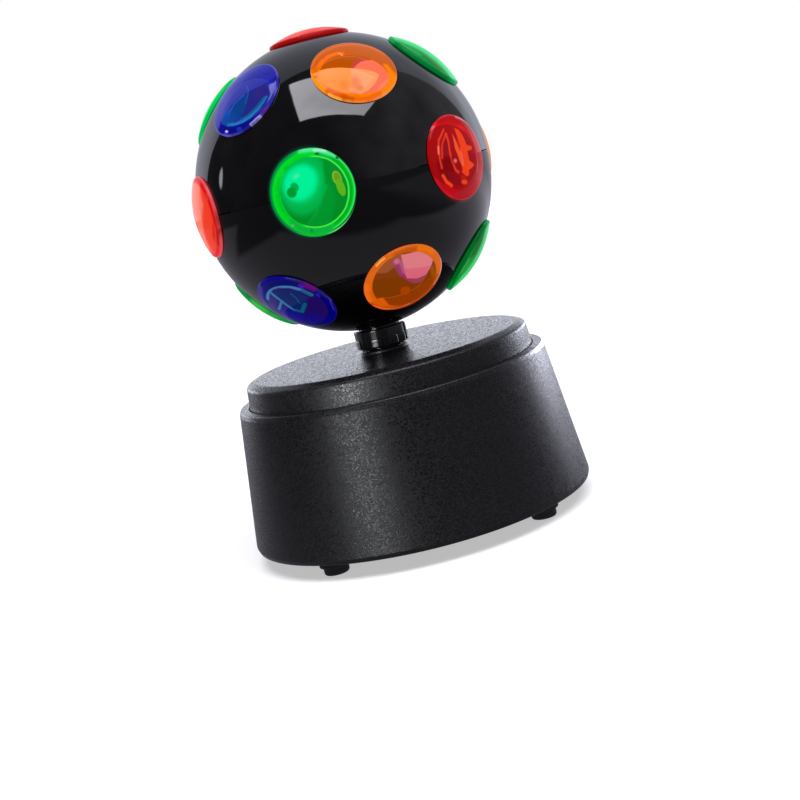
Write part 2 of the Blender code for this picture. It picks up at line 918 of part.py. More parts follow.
turned(
    "lamp_stem",
    [
        (STEM_BORE_R, STEM_TOP),
        (STEM_R, STEM_TOP),
        (STEM_R, 37.7),
        (5.5, 37.7),
        (5.5, 35.4),
        (STEM_BORE_R, 35.4),
    ],
    STEEL,
    16,
)
turned(
    "led_holder",
    [
        (STEM_BORE_R, 104.0),
        (8.5, 104.0),
        (8.5, 102.4),
        (4.8, 100.4),
        (4.8, 94.0),
        (3.3, 94.0),
        (3.3, 99.9),
        (STEM_BORE_R, 99.9),
    ],
    WHITE_PLASTIC,
    20,
)
turned(
    "led_board",
    [(0, 105.9), (10.0, 105.9), (10.0, 104.3), (0, 104.3)],
    BOARD,
    24,
)
cluster = solid("led_cluster", [cylinder(8.0, (106.2, 107.4), 0, 0, 24)], LED_CLEAR)


def dome(x, y):
    def add(made):
        bmesh.ops.create_uvsphere(
            made,
            u_segments=10,
            v_segments=6,
            radius=2.5 * MM,
            matrix=Matrix.Translation(Vector((x, y, 112.2)) * MM),
        )

    return add


bodies = [cylinder(2.45, (106.8, 112.2), *polar(4.6, 90 + 120 * i), 10) for i in range(3)]
join(cluster, bodies)
caps = solid(
    "led_cluster_domes", [dome(*polar(4.6, 90 + 120 * i)) for i in range(3)], None, helper=True
)
boolean(cluster, caps, "UNION")

# ---------------------------------------------------------------- control board and LED lead

control = solid(
    "control_board",
    [box((-38.0, -16.0), (-13.0, 13.0), (36.1, 37.7))],
    BOARD,
)
join(
    control,
    [
        box((-30.0, -22.0), (-3.0, 3.0), (34.9, 36.6)),
        cylinder(2.6, (29.5, 36.6), -34.0, 8.0, 14),
        cylinder(2.0, (31.0, 36.6), -34.0, -8.0, 12),
    ],
)


def bend(points, count):
    """A smooth curve through the points, read off evenly (Catmull-Rom)."""
    ends = [2 * points[0] - points[1]] + points + [2 * points[-1] - points[-2]]
    path = []
    spans = len(points) - 1
    for i in range(count):
        t = spans * i / (count - 1)
        k = min(int(t), spans - 1)
        u = t - k
        a, b, c, d = ends[k : k + 4]
        path.append(
            0.5
            * (
                2 * b
                + (c - a) * u
                + (2 * a - 5 * b + 4 * c - d) * u * u
                + (3 * b - 3 * c + d - a) * u * u * u
            )
        )
    return path


lead_points = [
    Vector(p)
    for p in (
        (-19.0, 0.0, 35.4),
        (-18.0, 0.0, 32.6),
        (-14.0, 0.0, 30.2),
        (-8.0, 0.0, 28.9),
        (-2.6, 0.0, 29.6),
        (-0.2, 0.0, 33.0),
        (0.0, 0.0, 38.0),
        (0.0, 0.0, 60.0),
        (0.0, 0.0, 82.0),
        (0.0, 0.0, 103.9),
    )
]
lead_curve = bpy.data.curves.new("led_lead", "CURVE")
lead_curve.dimensions = "3D"
lead_curve.bevel_depth = 0.9 * MM
lead_curve.bevel_resolution = 1
lead_curve.use_fill_caps = True
lead_path = bend(lead_points, 37)
lead_spline = lead_curve.splines.new("POLY")
lead_spline.points.add(len(lead_path) - 1)
for point, where in zip(lead_spline.points, lead_path):
    point.co = (*(where * MM), 1)
lead_curve.materials.append(WIRE)
lead = bpy.data.objects.new("led_lead", lead_curve)
parts.objects.link(lead)

for obj in parts.objects:
    if obj.type == "MESH":
        shade(obj.data)
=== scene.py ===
import json
import math
import random

import bmesh
import bpy
from mathutils import Matrix, Vector

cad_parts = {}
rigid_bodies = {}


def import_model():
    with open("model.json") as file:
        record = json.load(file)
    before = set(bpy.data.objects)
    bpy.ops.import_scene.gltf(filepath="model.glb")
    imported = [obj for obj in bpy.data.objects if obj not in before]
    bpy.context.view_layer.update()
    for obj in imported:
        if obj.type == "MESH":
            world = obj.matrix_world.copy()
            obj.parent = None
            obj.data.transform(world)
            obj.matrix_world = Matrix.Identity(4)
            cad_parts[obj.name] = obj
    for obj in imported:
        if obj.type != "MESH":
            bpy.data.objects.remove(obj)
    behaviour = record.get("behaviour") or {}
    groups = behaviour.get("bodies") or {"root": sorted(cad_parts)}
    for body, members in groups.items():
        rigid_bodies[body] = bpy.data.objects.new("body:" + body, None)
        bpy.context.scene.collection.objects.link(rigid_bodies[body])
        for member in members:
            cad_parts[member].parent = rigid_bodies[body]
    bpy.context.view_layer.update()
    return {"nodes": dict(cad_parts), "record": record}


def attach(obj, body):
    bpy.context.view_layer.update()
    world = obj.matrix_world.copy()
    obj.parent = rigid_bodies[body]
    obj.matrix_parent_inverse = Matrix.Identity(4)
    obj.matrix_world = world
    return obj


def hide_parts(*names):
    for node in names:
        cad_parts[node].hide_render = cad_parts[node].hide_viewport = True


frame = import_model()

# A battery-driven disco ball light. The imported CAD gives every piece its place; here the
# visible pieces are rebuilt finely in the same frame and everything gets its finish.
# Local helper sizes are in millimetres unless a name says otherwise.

NODES = frame["nodes"]
SCENE = bpy.context.scene
MM = 0.001

BALL_Z = 111.3
BALL_R = 46.0
LENS_LATITUDE = 42.6
LENS_TURN = -16.75


# ------------------------------------------------------------------ camera

FOCAL_PX = 1456.737
SIDE_PX = 800.0


def camera_axes():
    """The viewing position and axes, about the ball's centre and in ball radii."""
    distance, lift, roll, pan, tilt = 10.0, 0.008, -0.237, -0.038, 0.1474
    place = distance * Vector((0, -math.cos(lift), math.sin(lift)))
    ahead = (-place).normalized()
    right = ahead.cross(Vector((0, 0, 1))).normalized()
    up = right.cross(ahead)
    r2 = math.cos(roll) * right + math.sin(roll) * up
    u2 = -math.sin(roll) * right + math.cos(roll) * up
    f2 = ahead * math.cos(pan) - r2 * math.sin(pan)
    right = r2 * math.cos(pan) + ahead * math.sin(pan)
    f3 = f2 * math.cos(tilt) - u2 * math.sin(tilt)
    up = u2 * math.cos(tilt) + f2 * math.sin(tilt)
    turn = Matrix.Rotation(math.radians(-5.0), 3, "Z")
    return turn @ place, turn @ right, turn @ up, turn @ f3


EYE, EYE_RIGHT, EYE_UP, EYE_AHEAD = camera_axes()

camera_data = bpy.data.cameras.new("photo_camera")
camera_data.sensor_width = 36.0
camera_data.lens = FOCAL_PX * 36.0 / SIDE_PX
camera_data.clip_start = 0.02
camera_data.clip_end = 60.0
camera = bpy.data.objects.new("photo_camera", camera_data)
SCENE.collection.objects.link(camera)
camera.matrix_world = Matrix.Translation(
    Vector((0, 0, BALL_Z * MM)) + EYE * BALL_R * MM
) @ Matrix((EYE_RIGHT, EYE_UP, -EYE_AHEAD)).transposed().to_4x4()
SCENE.camera = camera
SCENE.view_settings.view_transform = "Standard"
SCENE.view_settings.look = "None"


def sight(x, y):
    """The direction of sight through a point of the 800 x 800 frame."""
    return (
        EYE_AHEAD + EYE_RIGHT * ((x - 400.0) / FOCAL_PX) - EYE_UP * ((y - 400.0) / FOCAL_PX)
    ).normalized()


# ------------------------------------------------------------------ node helpers


def linear(rgb):
    """0-255 display values as linear colour."""
    made = []
    for v in rgb:
        v = v / 255.0
        made.append(v / 12.92 if v <= 0.04045 else ((v + 0.055) / 1.055) ** 2.4)
    return tuple(made)


class Net:
    """Shorthand for building one node tree."""

    def __init__(self, tree):
        self.tree = tree

    def add(self, kind, **settings):
        made = self.tree.nodes.new(kind)
        for key, value in settings.items():
            setattr(made, key, value)
        return made

    def put(self, socket, value):
        if isinstance(value, bpy.types.NodeSocket):
            self.tree.links.new(value, socket)
        elif isinstance(value, (tuple, list, Vector)):
            value = tuple(value)
            size = len(socket.default_value)
            socket.default_value = value + (1.0,) * (size - len(value))
        else:
            socket.default_value = value

    def math(self, kind, a, b=None, c=None, clamp=False):
        made = self.add("ShaderNodeMath", operation=kind, use_clamp=clamp)
        self.put(made.inputs[0], a)
        if b is not None:
            self.put(made.inputs[1], b)
        if c is not None:
            self.put(made.inputs[2], c)
        return made.outputs[0]

    def vector(self, kind, a, b=None, scale=None):
        made = self.add("ShaderNodeVectorMath", operation=kind)
        self.put(made.inputs[0], a)
        if b is not None:
            self.put(made.inputs[1], b)
        if scale is not None:
            self.put(made.inputs["Scale"], scale)
        return made.outputs["Value" if kind in ("DOT_PRODUCT", "LENGTH", "DISTANCE") else "Vector"]

    def object_mm(self):
        return self.vector("SCALE", self.add("ShaderNodeTexCoord").outputs["Object"], scale=1000.0)

    def split(self, vector):
        made = self.add("ShaderNodeSeparateXYZ")
        self.put(made.inputs[0], vector)
        return made.outputs[0], made.outputs[1], made.outputs[2]

    def joined(self, x, y, z=0.0):
        made = self.add("ShaderNodeCombineXYZ")
        for socket, value in zip(made.inputs, (x, y, z)):
            self.put(socket, value)
        return made.outputs[0]

    def noise(self, vector, scale, detail=2.0, rough=0.5, distortion=0.0):
        made = self.add("ShaderNodeTexNoise")
        self.put(made.inputs["Vector"], vector)
        made.inputs["Scale"].default_value = scale
        made.inputs["Detail"].default_value = detail
        made.inputs["Roughness"].default_value = rough
        made.inputs["Distortion"].default_value = distortion
        return made.outputs["Fac"]

    def noise_vector(self, vector, scale, detail=1.0):
        made = self.add("ShaderNodeTexNoise")
        self.put(made.inputs["Vector"], vector)
        made.inputs["Scale"].default_value = scale
        made.inputs["Detail"].default_value = detail
        return self.vector("SUBTRACT", made.outputs["Color"], (0.5, 0.5, 0.5))

    def cells(self, vector, scale, feature="F1", out="Distance"):
        made = self.add("ShaderNodeTexVoronoi", feature=feature)
        self.put(made.inputs["Vector"], vector)
        made.inputs["Scale"].default_value = scale
        return made.outputs[out]

    def steps(self, x, low, high, to_low=0.0, to_high=1.0, kind="SMOOTHSTEP"):
        made = self.add("ShaderNodeMapRange", interpolation_type=kind)
        for name, value in (
            ("Value", x),
            ("From Min", low),
            ("From Max", high),
            ("To Min", to_low),
            ("To Max", to_high),
        ):
            self.put(made.inputs[name], value)
        return made.outputs[0]

    def mix(self, share, a, b, kind="MIX"):
        made = self.add("ShaderNodeMix", data_type="RGBA", blend_type=kind)
        self.put(made.inputs[0], share)
        self.put(made.inputs[6], a)
        self.put(made.inputs[7], b)
        return made.outputs[2]

    def bump(self, height, strength, distance):
        made = self.add("ShaderNodeBump")
        made.inputs["Strength"].default_value = strength
        made.inputs["Distance"].default_value = distance
        self.put(made.inputs["Height"], height)
        return made.outputs["Normal"]


def new_material(name):
    made = bpy.data.materials.new(name)
    made.use_nodes = True
    net = Net(made.node_tree)
    return made, net, made.node_tree.nodes["Principled BSDF"]


def finish_with(obj, *materials):
    obj.data.materials.clear()
    for made in materials:
        obj.data.materials.append(made)


# ------------------------------------------------------------------ where the lenses sit


def lens_direction(latitude, azimuth):
    """Azimuth is measured from -Y, the front, towards +X."""
    lat, az = math.radians(latitude), math.radians(azimuth)
    return Vector(
        (math.sin(az) * math.cos(lat), -math.cos(az) * math.cos(lat), math.sin(lat))
    )


LENSES = [("lens_top", 90.0, 0.0, "red")]
RING_COLOURS = ("orange", "green", "blue", "orange", "green", "blue")
MIDDLE_COLOURS = ("green", "red", "orange", "red", "blue", "red")
for i in range(6):
    LENSES.append((f"lens_upper_{i + 1}", LENS_LATITUDE, LENS_TURN + 30 + 60 * i, RING_COLOURS[i]))
for i in range(6):
    LENSES.append((f"lens_middle_{i + 1}", 0.0, LENS_TURN + 60 * i, MIDDLE_COLOURS[i]))
for i in range(6):
    LENSES.append((f"lens_lower_{i + 1}", -LENS_LATITUDE, LENS_TURN + 30 + 60 * i, RING_COLOURS[i]))


# ------------------------------------------------------------------ finishes


def gloss_black(name, roughness, spread, bump_size, tint=(0.0035, 0.0035, 0.0042)):
    """Moulded black plastic with a polished skin, faint swirl marks and a little uneven gloss."""
    made, net, shader = new_material(name)
    p = net.object_mm()
    broad = net.noise(p, 0.08, 2.0)
    fine = net.noise(p, 1.1, 3.0, 0.6)
    level = net.math("ADD", net.math("MULTIPLY", broad, 0.6), net.math("MULTIPLY", fine, 0.4))
    net.put(shader.inputs["Roughness"], net.steps(level, 0.3, 0.7, roughness - spread, roughness + spread, "LINEAR"))
    net.put(
        shader.inputs["Base Color"],
        net.mix(broad, tuple(v * 0.8 for v in tint), tuple(v * 1.25 for v in tint)),
    )
    net.put(shader.inputs["Normal"], net.bump(net.noise(p, 0.16, 1.0), bump_size, 0.001))
    shader.inputs["IOR"].default_value = 1.5
    return made


def grain_black(name, base=(0.0048, 0.0046, 0.0056), grain=1.0, rough=(0.38, 0.28), size=2.3, ior=1.35):
    """Spark-eroded black plastic: a fine even grain with slightly shiny peaks, glossier where
    it is seen along its surface."""
    made, net, shader = new_material(name)
    p = net.object_mm()
    pits = net.noise(p, size, 2.0, 0.6)
    speck = net.noise(p, size * 2.3, 1.0, 0.5)
    pebbles = net.cells(p, size * 1.25, "SMOOTH_F1")
    broad = net.noise(p, 0.05, 2.0)
    height = net.math("ADD", net.math("MULTIPLY", pits, 0.6), net.math("MULTIPLY", pebbles, 0.2))
    height = net.math("ADD", height, net.math("MULTIPLY", speck, 0.3))
    grit = net.split(net.cells(p, size * 1.2, "F1", "Color"))[0]
    coarse = net.noise(p, 0.75, 2.0, 0.55)
    height = net.math("ADD", height, net.math("MULTIPLY", coarse, 0.02))
    net.put(shader.inputs["Normal"], net.bump(height, grain, 0.00009))
    peak = net.math("ADD", net.math("MULTIPLY", net.steps(pits, 0.40, 0.66), 0.4), net.math("MULTIPLY", grit, 0.6))
    colour = net.mix(peak, tuple(v * 0.4 for v in base), tuple(v * 2.0 for v in base))
    colour = net.mix(net.math("MULTIPLY", broad, 0.3), colour, tuple(v * 1.4 for v in base))
    net.put(shader.inputs["Base Color"], colour)
    facing = net.add("ShaderNodeLayerWeight").outputs["Facing"]
    shine = net.steps(facing, 0.25, 0.92, rough[0], rough[1], "LINEAR")
    shine = net.math("ADD", shine, net.math("MULTIPLY", net.math("SUBTRACT", speck, 0.5), 0.14))
    shine = net.math("ADD", shine, net.steps(grit, 0.0, 1.0, -0.17, 0.17, "LINEAR"))
    shine = net.math("ADD", shine, net.math("MULTIPLY", net.math("SUBTRACT", coarse, 0.5), 0.05))
    net.put(shader.inputs["Roughness"], shine)
    shader.inputs["IOR"].default_value = ior
    return made


def rubber_finish():
    made, net, shader = new_material("rubber_black")
    p = net.object_mm()
    dust = net.noise(p, 0.9, 4.0, 0.65)
    net.put(
        shader.inputs["Base Color"],
        net.mix(net.steps(dust, 0.45, 0.75), (0.008, 0.008, 0.009), (0.022, 0.021, 0.021)),
    )
    net.put(shader.inputs["Roughness"], net.steps(dust, 0.3, 0.8, 0.58, 0.82, "LINEAR"))
    net.put(shader.inputs["Normal"], net.bump(net.noise(p, 3.0, 2.0), 0.25, 0.0001))
    return made


def metal_finish(name, colour, roughness, brush=(1.0, 1.0, 9.0)):
    made, net, shader = new_material(name)
    p = net.object_mm()
    lines = net.noise(net.vector("MULTIPLY", p, brush), 1.6, 3.0, 0.6)
    stain = net.noise(p, 0.25, 3.0)
    net.put(
        shader.inputs["Base Color"],
        net.mix(stain, tuple(v * 0.72 for v in colour), colour),
    )
    net.put(shader.inputs["Roughness"], net.steps(lines, 0.3, 0.7, roughness - 0.08, roughness + 0.12, "LINEAR"))
    net.put(shader.inputs["Normal"], net.bump(lines, 0.12, 0.00005))
    shader.inputs["Metallic"].default_value = 1.0
    return made


def plastic_finish(name, colour, roughness, grain=0.08, scale=1.5):
    made, net, shader = new_material(name)
    p = net.object_mm()
    broad = net.noise(p, 0.09, 3.0)
    fine = net.noise(p, scale, 3.0, 0.6)
    net.put(
        shader.inputs["Base Color"],
        net.mix(broad, tuple(v * 0.82 for v in colour), colour),
    )
    net.put(shader.inputs["Roughness"], net.steps(fine, 0.3, 0.7, roughness - 0.06, roughness + 0.1, "LINEAR"))
    net.put(shader.inputs["Normal"], net.bump(fine, grain, 0.0001))
    return made


def board_finish():
    """Green solder mask with slightly raised tracks, and no print."""
    made, net, shader = new_material("board_green")
    p = net.object_mm()
    x, y, _ = net.split(p)
    rows = net.steps(net.math("ABSOLUTE", net.math("SINE", net.math("MULTIPLY", y, 2.2))), 0.55, 0.75)
    breaks = net.steps(net.noise(net.joined(net.math("MULTIPLY", x, 0.25), y), 0.4, 1.0), 0.45, 0.5)
    track = net.math("MULTIPLY", rows, breaks)
    net.put(shader.inputs["Base Color"], net.mix(track, (0.006, 0.085, 0.03), (0.02, 0.2, 0.07)))
    net.put(shader.inputs["Normal"], net.bump(track, 0.3, 0.0001))
    net.put(shader.inputs["Roughness"], net.steps(net.noise(p, 0.8, 3.0), 0.3, 0.7, 0.28, 0.45, "LINEAR"))
    return made


def jacket_finish():
    """A plain cell wrapper: dark foil with a lighter band near one end."""
    made, net, shader = new_material("cell_foil")
    p = net.object_mm()
    _, y, _ = net.split(p)
    band = net.math("MULTIPLY", net.steps(y, 9.0, 9.3), net.steps(y, 24.0, 23.6))
    net.put(shader.inputs["Base Color"], net.mix(band, (0.03, 0.035, 0.05), (0.55, 0.42, 0.2)))
    net.put(shader.inputs["Roughness"], net.steps(net.noise(p, 0.5, 3.0), 0.3, 0.7, 0.2, 0.36, "LINEAR"))
    shader.inputs["Metallic"].default_value = 0.6
    return made


BALL_SKIN = gloss_black("ball_gloss", 0.04, 0.012, 0.02)


def painted_lens_glow(made, spills):
    """Painted glow: the skin given a faint emission in a thin fringe beside a bright lens, standing in for lamp light
    spilling onto it.
    """
    net, shader = Net(made.node_tree), made.node_tree.nodes["Principled BSDF"]
    place = net.vector("SUBTRACT", net.object_mm(), (0, 0, BALL_Z))
    total = None
    for (latitude, azimuth), side, rgb, wide in spills:
        out = lens_direction(latitude, azimuth)
        seat = tuple(out * BALL_R)
        off = net.vector("DISTANCE", place, seat)
        fringe = net.steps(off, 12.5 + wide, 12.1)
        fringe = net.math("MULTIPLY", fringe, fringe)
        toward = net.vector("DOT_PRODUCT", net.vector("SUBTRACT", place, seat), tuple(side))
        share = net.math("MULTIPLY", fringe, net.steps(toward, -6.0, 9.0))
        part = net.mix(share, (0, 0, 0), linear(rgb))
        total = part if total is None else net.mix(1.0, total, part, "ADD")
    net.put(shader.inputs["Emission Color"], total)
    shader.inputs["Emission Strength"].default_value = 1.0


painted_lens_glow(
    BALL_SKIN,
    [
        ((0.0, LENS_TURN), -EYE_RIGHT, (0, 92, 60), 1.7),
        ((0.0, LENS_TURN + 60), EYE_RIGHT, (150, 34, 44), 1.9),
    ],
)
NECK_SKIN = gloss_black("neck_gloss", 0.13, 0.04, 0.03, (0.0045, 0.0045, 0.005))
KNOB_SKIN = gloss_black("knob_gloss", 0.22, 0.05, 0.05, (0.008, 0.008, 0.009))
BASE_SKIN = grain_black("base_grain")
PLATE_SKIN = grain_black("plate_grain", (0.011, 0.011, 0.012), 0.8, (0.46, 0.3))
DOOR_SKIN = grain_black("door_grain", (0.0125, 0.0125, 0.014), 1.0, (0.44, 0.3), 1.2)
RUBBER = rubber_finish()
STEEL = metal_finish("steel_plated", (0.56, 0.56, 0.57), 0.3)
SCREW_STEEL = metal_finish("screw_black_zinc", (0.09, 0.09, 0.095), 0.34)
BRASS = metal_finish("brass_turned", (0.68, 0.45, 0.17), 0.28)
BRONZE = metal_finish("bronze_oiled", (0.035, 0.028, 0.022), 0.42)
WHITE = plastic_finish("white_moulded", (0.74, 0.74, 0.71), 0.38)
NATURAL = plastic_finish("natural_moulded", (0.6, 0.57, 0.5), 0.45)
WIRE = plastic_finish("wire_sleeve", (0.32, 0.015, 0.015), 0.42)
LED_CLEAR = plastic_finish("led_epoxy", (0.8, 0.8, 0.8), 0.12, 0.02)
LED_CLEAR.node_tree.nodes["Principled BSDF"].inputs["Transmission Weight"].default_value = 0.8
BOARD = board_finish()
CELL = jacket_finish()

INNER = {
    "natural_plastic": NATURAL,
    "white_plastic": WHITE,
    "steel": STEEL,
    "brass": BRASS,
    "cell_jacket": CELL,
    "board": BOARD,
    "led_clear": LED_CLEAR,
    "wire": WIRE,
    "rubber": RUBBER,
    "gloss_black": NECK_SKIN,
    "grain_black": BASE_SKIN,
}
SLOT_OF = {s["node"]: s["material_slot"] for s in frame["record"]["subparts"]}
for node_name, node in NODES.items():
    wanted = INNER.get(SLOT_OF.get(node_name))
    if node_name == "shaft_bush":
        wanted = BRONZE
    if wanted is not None:
        finish_with(node, wanted)


# ------------------------------------------------------------------ mesh helpers


def rounded(points, radius, steps=4):
    """A line of (r, z) points with each inner corner turned into a small arc. A point may
    carry its own radius as a third number."""
    made = [tuple(points[0][:2])]
    for before, here, after in zip(points, points[1:], points[2:]):
        size = here[2] if len(here) > 2 else radius
        a, b, c = Vector(before[:2]), Vector(here[:2]), Vector(after[:2])
        u, v = (a - b), (c - b)
        if size <= 0 or u.length < 1e-6 or v.length < 1e-6:
            made.append(tuple(b))
            continue
        angle = u.angle(v)
        if angle > math.radians(176):
            made.append(tuple(b))
            continue
        reach = min(size / math.tan(angle / 2), 0.48 * u.length, 0.48 * v.length)
        start, end = b + u.normalized() * reach, b + v.normalized() * reach
        for i in range(steps + 1):
            t = i / steps
            made.append(tuple((1 - t) ** 2 * start + 2 * t * (1 - t) * b + t * t * end))
    made.append(tuple(points[-1][:2]))
    return made


def turned_mesh(name, points, sides, ring, marks=None):
    """The line of (r, z) points turned about Z. A ring's line is closed on itself; any other
    line starts and ends on the axis. marks gives a material index for each span."""
    work = bmesh.new()
    rows = []
    for r, z in points:
        if r < 1e-6:
            rows.append([work.verts.new((0, 0, z * MM))])
        else:
            rows.append(
                [
                    work.verts.new(
                        (
                            r * math.cos(2 * math.pi * i / sides) * MM,
                            r * math.sin(2 * math.pi * i / sides) * MM,
                            z * MM,
                        )
                    )
                    for i in range(sides)
                ]
            )
    pairs = list(zip(rows, rows[1:]))
    if ring:
        pairs.append((rows[-1], rows[0]))
    for span, (a, b) in enumerate(pairs):
        mark = marks[span] if marks else 0
        for i in range(sides):
            j = (i + 1) % sides
            if len(a) == 1 and len(b) == 1:
                continue
            if len(a) == 1:
                corners = (a[0], b[j], b[i])
            elif len(b) == 1:
                corners = (a[i], a[j], b[0])
            else:
                corners = (a[i], a[j], b[j], b[i])
            work.faces.new(corners).material_index = mark
    bmesh.ops.recalc_face_normals(work, faces=work.faces)
    mesh = bpy.data.meshes.new(name)
    work.to_mesh(mesh)
    work.free()
    return mesh


def shaded(mesh, angle=32.0):
    mesh.shade_smooth()
    mesh.set_sharp_from_angle(angle=math.radians(angle))
    return mesh


def weighted(obj):
    change = obj.modifiers.new("Weighted", "WEIGHTED_NORMAL")
    change.keep_sharp = True
    change.weight = 80
    return obj


def piece(name, mesh, body, stands_for=(), finish=(), matrix=None, even=True):
    obj = bpy.data.objects.new(name, mesh)
    SCENE.collection.objects.link(obj)
    if matrix is not None:
        obj.matrix_world = matrix
    finish_with(obj, *finish)
    if even:
        weighted(obj)
    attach(obj, body)
    if stands_for:
        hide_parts(*stands_for)
    return obj


def helper(name, mesh):
    obj = bpy.data.objects.new(name, mesh)
    SCENE.collection.objects.link(obj)
    return obj


def combined(mesh, others, kind="DIFFERENCE"):
    """The mesh with the others cut from it, or joined to it, as one new mesh."""
    for other in others:
        a, b = helper("work_a", mesh), helper("work_b", other)
        change = a.modifiers.new("Cut", "BOOLEAN")
        change.operation = kind
        change.solver = "EXACT"
        change.object = b
        bpy.context.view_layer.update()
        made = bpy.data.meshes.new_from_object(
            a.evaluated_get(bpy.context.evaluated_depsgraph_get())
        )
        bpy.data.objects.remove(a)
        bpy.data.objects.remove(b)
        mesh = made
    return mesh


def box_mesh(x, y, z, bevel=0.0, segments=3, turn=None, matrix=None):
    work = bmesh.new()
    size = Vector((x[1] - x[0], y[1] - y[0], z[1] - z[0])) * MM
    middle = Vector((x[0] + x[1], y[0] + y[1], z[0] + z[1])) * (MM / 2)
    place = Matrix.Translation(middle) @ Matrix.Diagonal((*size, 1.0))
    bmesh.ops.create_cube(work, size=1.0, matrix=place)
    if bevel > 0:
        bmesh.ops.bevel(
            work,
            geom=work.edges[:],
            offset=bevel * MM,
            segments=segments,
            profile=0.5,
            affect="EDGES",
            clamp_overlap=True,
        )
    if matrix is not None:
        bmesh.ops.transform(work, matrix=matrix, verts=work.verts)
    mesh = bpy.data.meshes.new("box")
    work.to_mesh(mesh)
    work.free()
    return mesh


def rounded_box_mesh(x, y, z, corner, segments=6, edge=0.0):
    """A slab with rounded upright corners and, if edge is set, softened flat rims."""
    work = bmesh.new()
    size = Vector((x[1] - x[0], y[1] - y[0], z[1] - z[0])) * MM
    middle = Vector((x[0] + x[1], y[0] + y[1], z[0] + z[1])) * (MM / 2)
    bmesh.ops.create_cube(
        work, size=1.0, matrix=Matrix.Translation(middle) @ Matrix.Diagonal((*size, 1.0))
    )
    upright = [
        e for e in work.edges if abs((e.verts[0].co - e.verts[1].co).normalized().z) > 0.9
    ]
    bmesh.ops.bevel(
        work, geom=upright, offset=corner * MM, segments=segments, profile=0.5, affect="EDGES"
    )
    if edge > 0:
        low, high = z[0] * MM, z[1] * MM
        rims = [
            e
            for e in work.edges
            if all(abs(v.co.z - low) < 1e-7 for v in e.verts)
            or all(abs(v.co.z - high) < 1e-7 for v in e.verts)
        ]
        bmesh.ops.bevel(
            work, geom=rims, offset=edge * MM, segments=2, profile=0.5, affect="EDGES"
        )
    mesh = bpy.data.meshes.new("slab")
    work.to_mesh(mesh)
    work.free()
    return mesh


def merged(meshes):
    """Several closed meshes as one, where they don't overlap."""
    work = bmesh.new()
    for mesh in meshes:
        work.from_mesh(mesh)
    made = bpy.data.meshes.new("merged")
    work.to_mesh(made)
    work.free()
    return made


def rod_mesh(radius, z, sides=48, direction=None, at=(0, 0, 0)):
    work = bmesh.new()
    matrix = Matrix.Translation(Vector((0, 0, (z[0] + z[1]) / 2)) * MM)
    if direction is not None:
        matrix = direction.to_track_quat("Z", "Y").to_matrix().to_4x4() @ matrix
    matrix = Matrix.Translation(Vector(at) * MM) @ matrix
    bmesh.ops.create_cone(
        work,
        cap_ends=True,
        segments=sides,
        radius1=radius * MM,
        radius2=radius * MM,
        depth=(z[1] - z[0]) * MM,
        matrix=matrix,
    )
    mesh = bpy.data.meshes.new("rod")
    work.to_mesh(mesh)
    work.free()
    return mesh


def polar(radius, degrees):
    angle = math.radians(degrees)
    return radius * math.cos(angle), radius * math.sin(angle)


# ------------------------------------------------------------------ ball shells


def arc(radius, first, last, steps):
    made = []
    for i in range(steps + 1):
        angle = math.radians(first + (last - first) * i / steps)
        made.append((radius * math.cos(angle), radius * math.sin(angle)))
    return made


def shell_normals(mesh):
    """Exact sphere normals where a face lies on the outer or inner sphere, and each other
    face's own normal, so that the holes leave no ripple in the reflections."""
    normals = [None] * len(mesh.loops)
    centre = Vector((0, 0, BALL_Z * MM))
    for face in mesh.polygons:
        out = face.center - centre
        along = face.normal.dot(out.normalized())
        lies = [abs((mesh.vertices[v].co - centre).length * 1000 - BALL_R) < 0.02 for v in face.vertices]
        inner = [abs((mesh.vertices[v].co - centre).length * 1000 - (BALL_R - 2.0)) < 0.02 for v in face.vertices]
        for k, index in enumerate(face.loop_indices):
            spot = (mesh.vertices[face.vertices[k]].co - centre).normalized()
            if all(lies) and along > 0.8:
                normals[index] = spot
            elif all(inner) and along < -0.8:
                normals[index] = -spot
            else:
                normals[index] = face.normal.copy()
    mesh.shade_smooth()
    mesh.normals_split_custom_set([tuple(n) for n in normals])


SEAM_HALF = 0.13
LIP = 0.05


def make_shells():
    up_z = math.degrees(math.asin((SEAM_HALF + LIP) / BALL_R))
    inner_z = math.degrees(math.asin(SEAM_HALF / (BALL_R - 2)))
    outer = arc(BALL_R, 90.0, up_z, 44)
    outer[0] = (0.0, BALL_R)
    inner = arc(BALL_R - 2.0, inner_z, 90.0, 16)
    inner[-1] = (0.0, BALL_R - 2.0)
    upper = outer + [(BALL_R - LIP * 0.35, SEAM_HALF + LIP * 0.35), (BALL_R - LIP, SEAM_HALF)] + inner
    pole = math.degrees(math.acos(6.6 / BALL_R))
    pole_in = math.degrees(math.acos(6.6 / (BALL_R - 2)))
    lower = arc(BALL_R, -pole, -up_z, 42)
    lower += [(BALL_R - LIP * 0.35, -SEAM_HALF - LIP * 0.35), (BALL_R - LIP, -SEAM_HALF)]
    lower += [(43.55, -SEAM_HALF), (43.55, 2.2), (42.7, 2.2), (42.7, -3.2)]
    lower += arc(BALL_R - 2.0, -4.4, -pole_in, 16)
    cutter = merged(
        [
            rod_mesh(10.3, (36.0, 52.0), 64, lens_direction(lat, az), (0, 0, BALL_Z))
            for _, lat, az, _ in LENSES
        ]
    )
    for name, line, ring in (
        ("ball_upper_skin", upper, False),
        ("ball_lower_skin", lower, True),
    ):
        mesh = turned_mesh(name, [(r, z + BALL_Z) for r, z in line], 168, ring)
        mesh = combined(mesh, [cutter.copy()])
        mesh.name = name
        shell_normals(mesh)
        piece(
            name,
            mesh,
            "ball",
            [name.replace("_skin", "_shell")],
            [BALL_SKIN],
            even=False,
        )


make_shells()


# ------------------------------------------------------------------ lenses

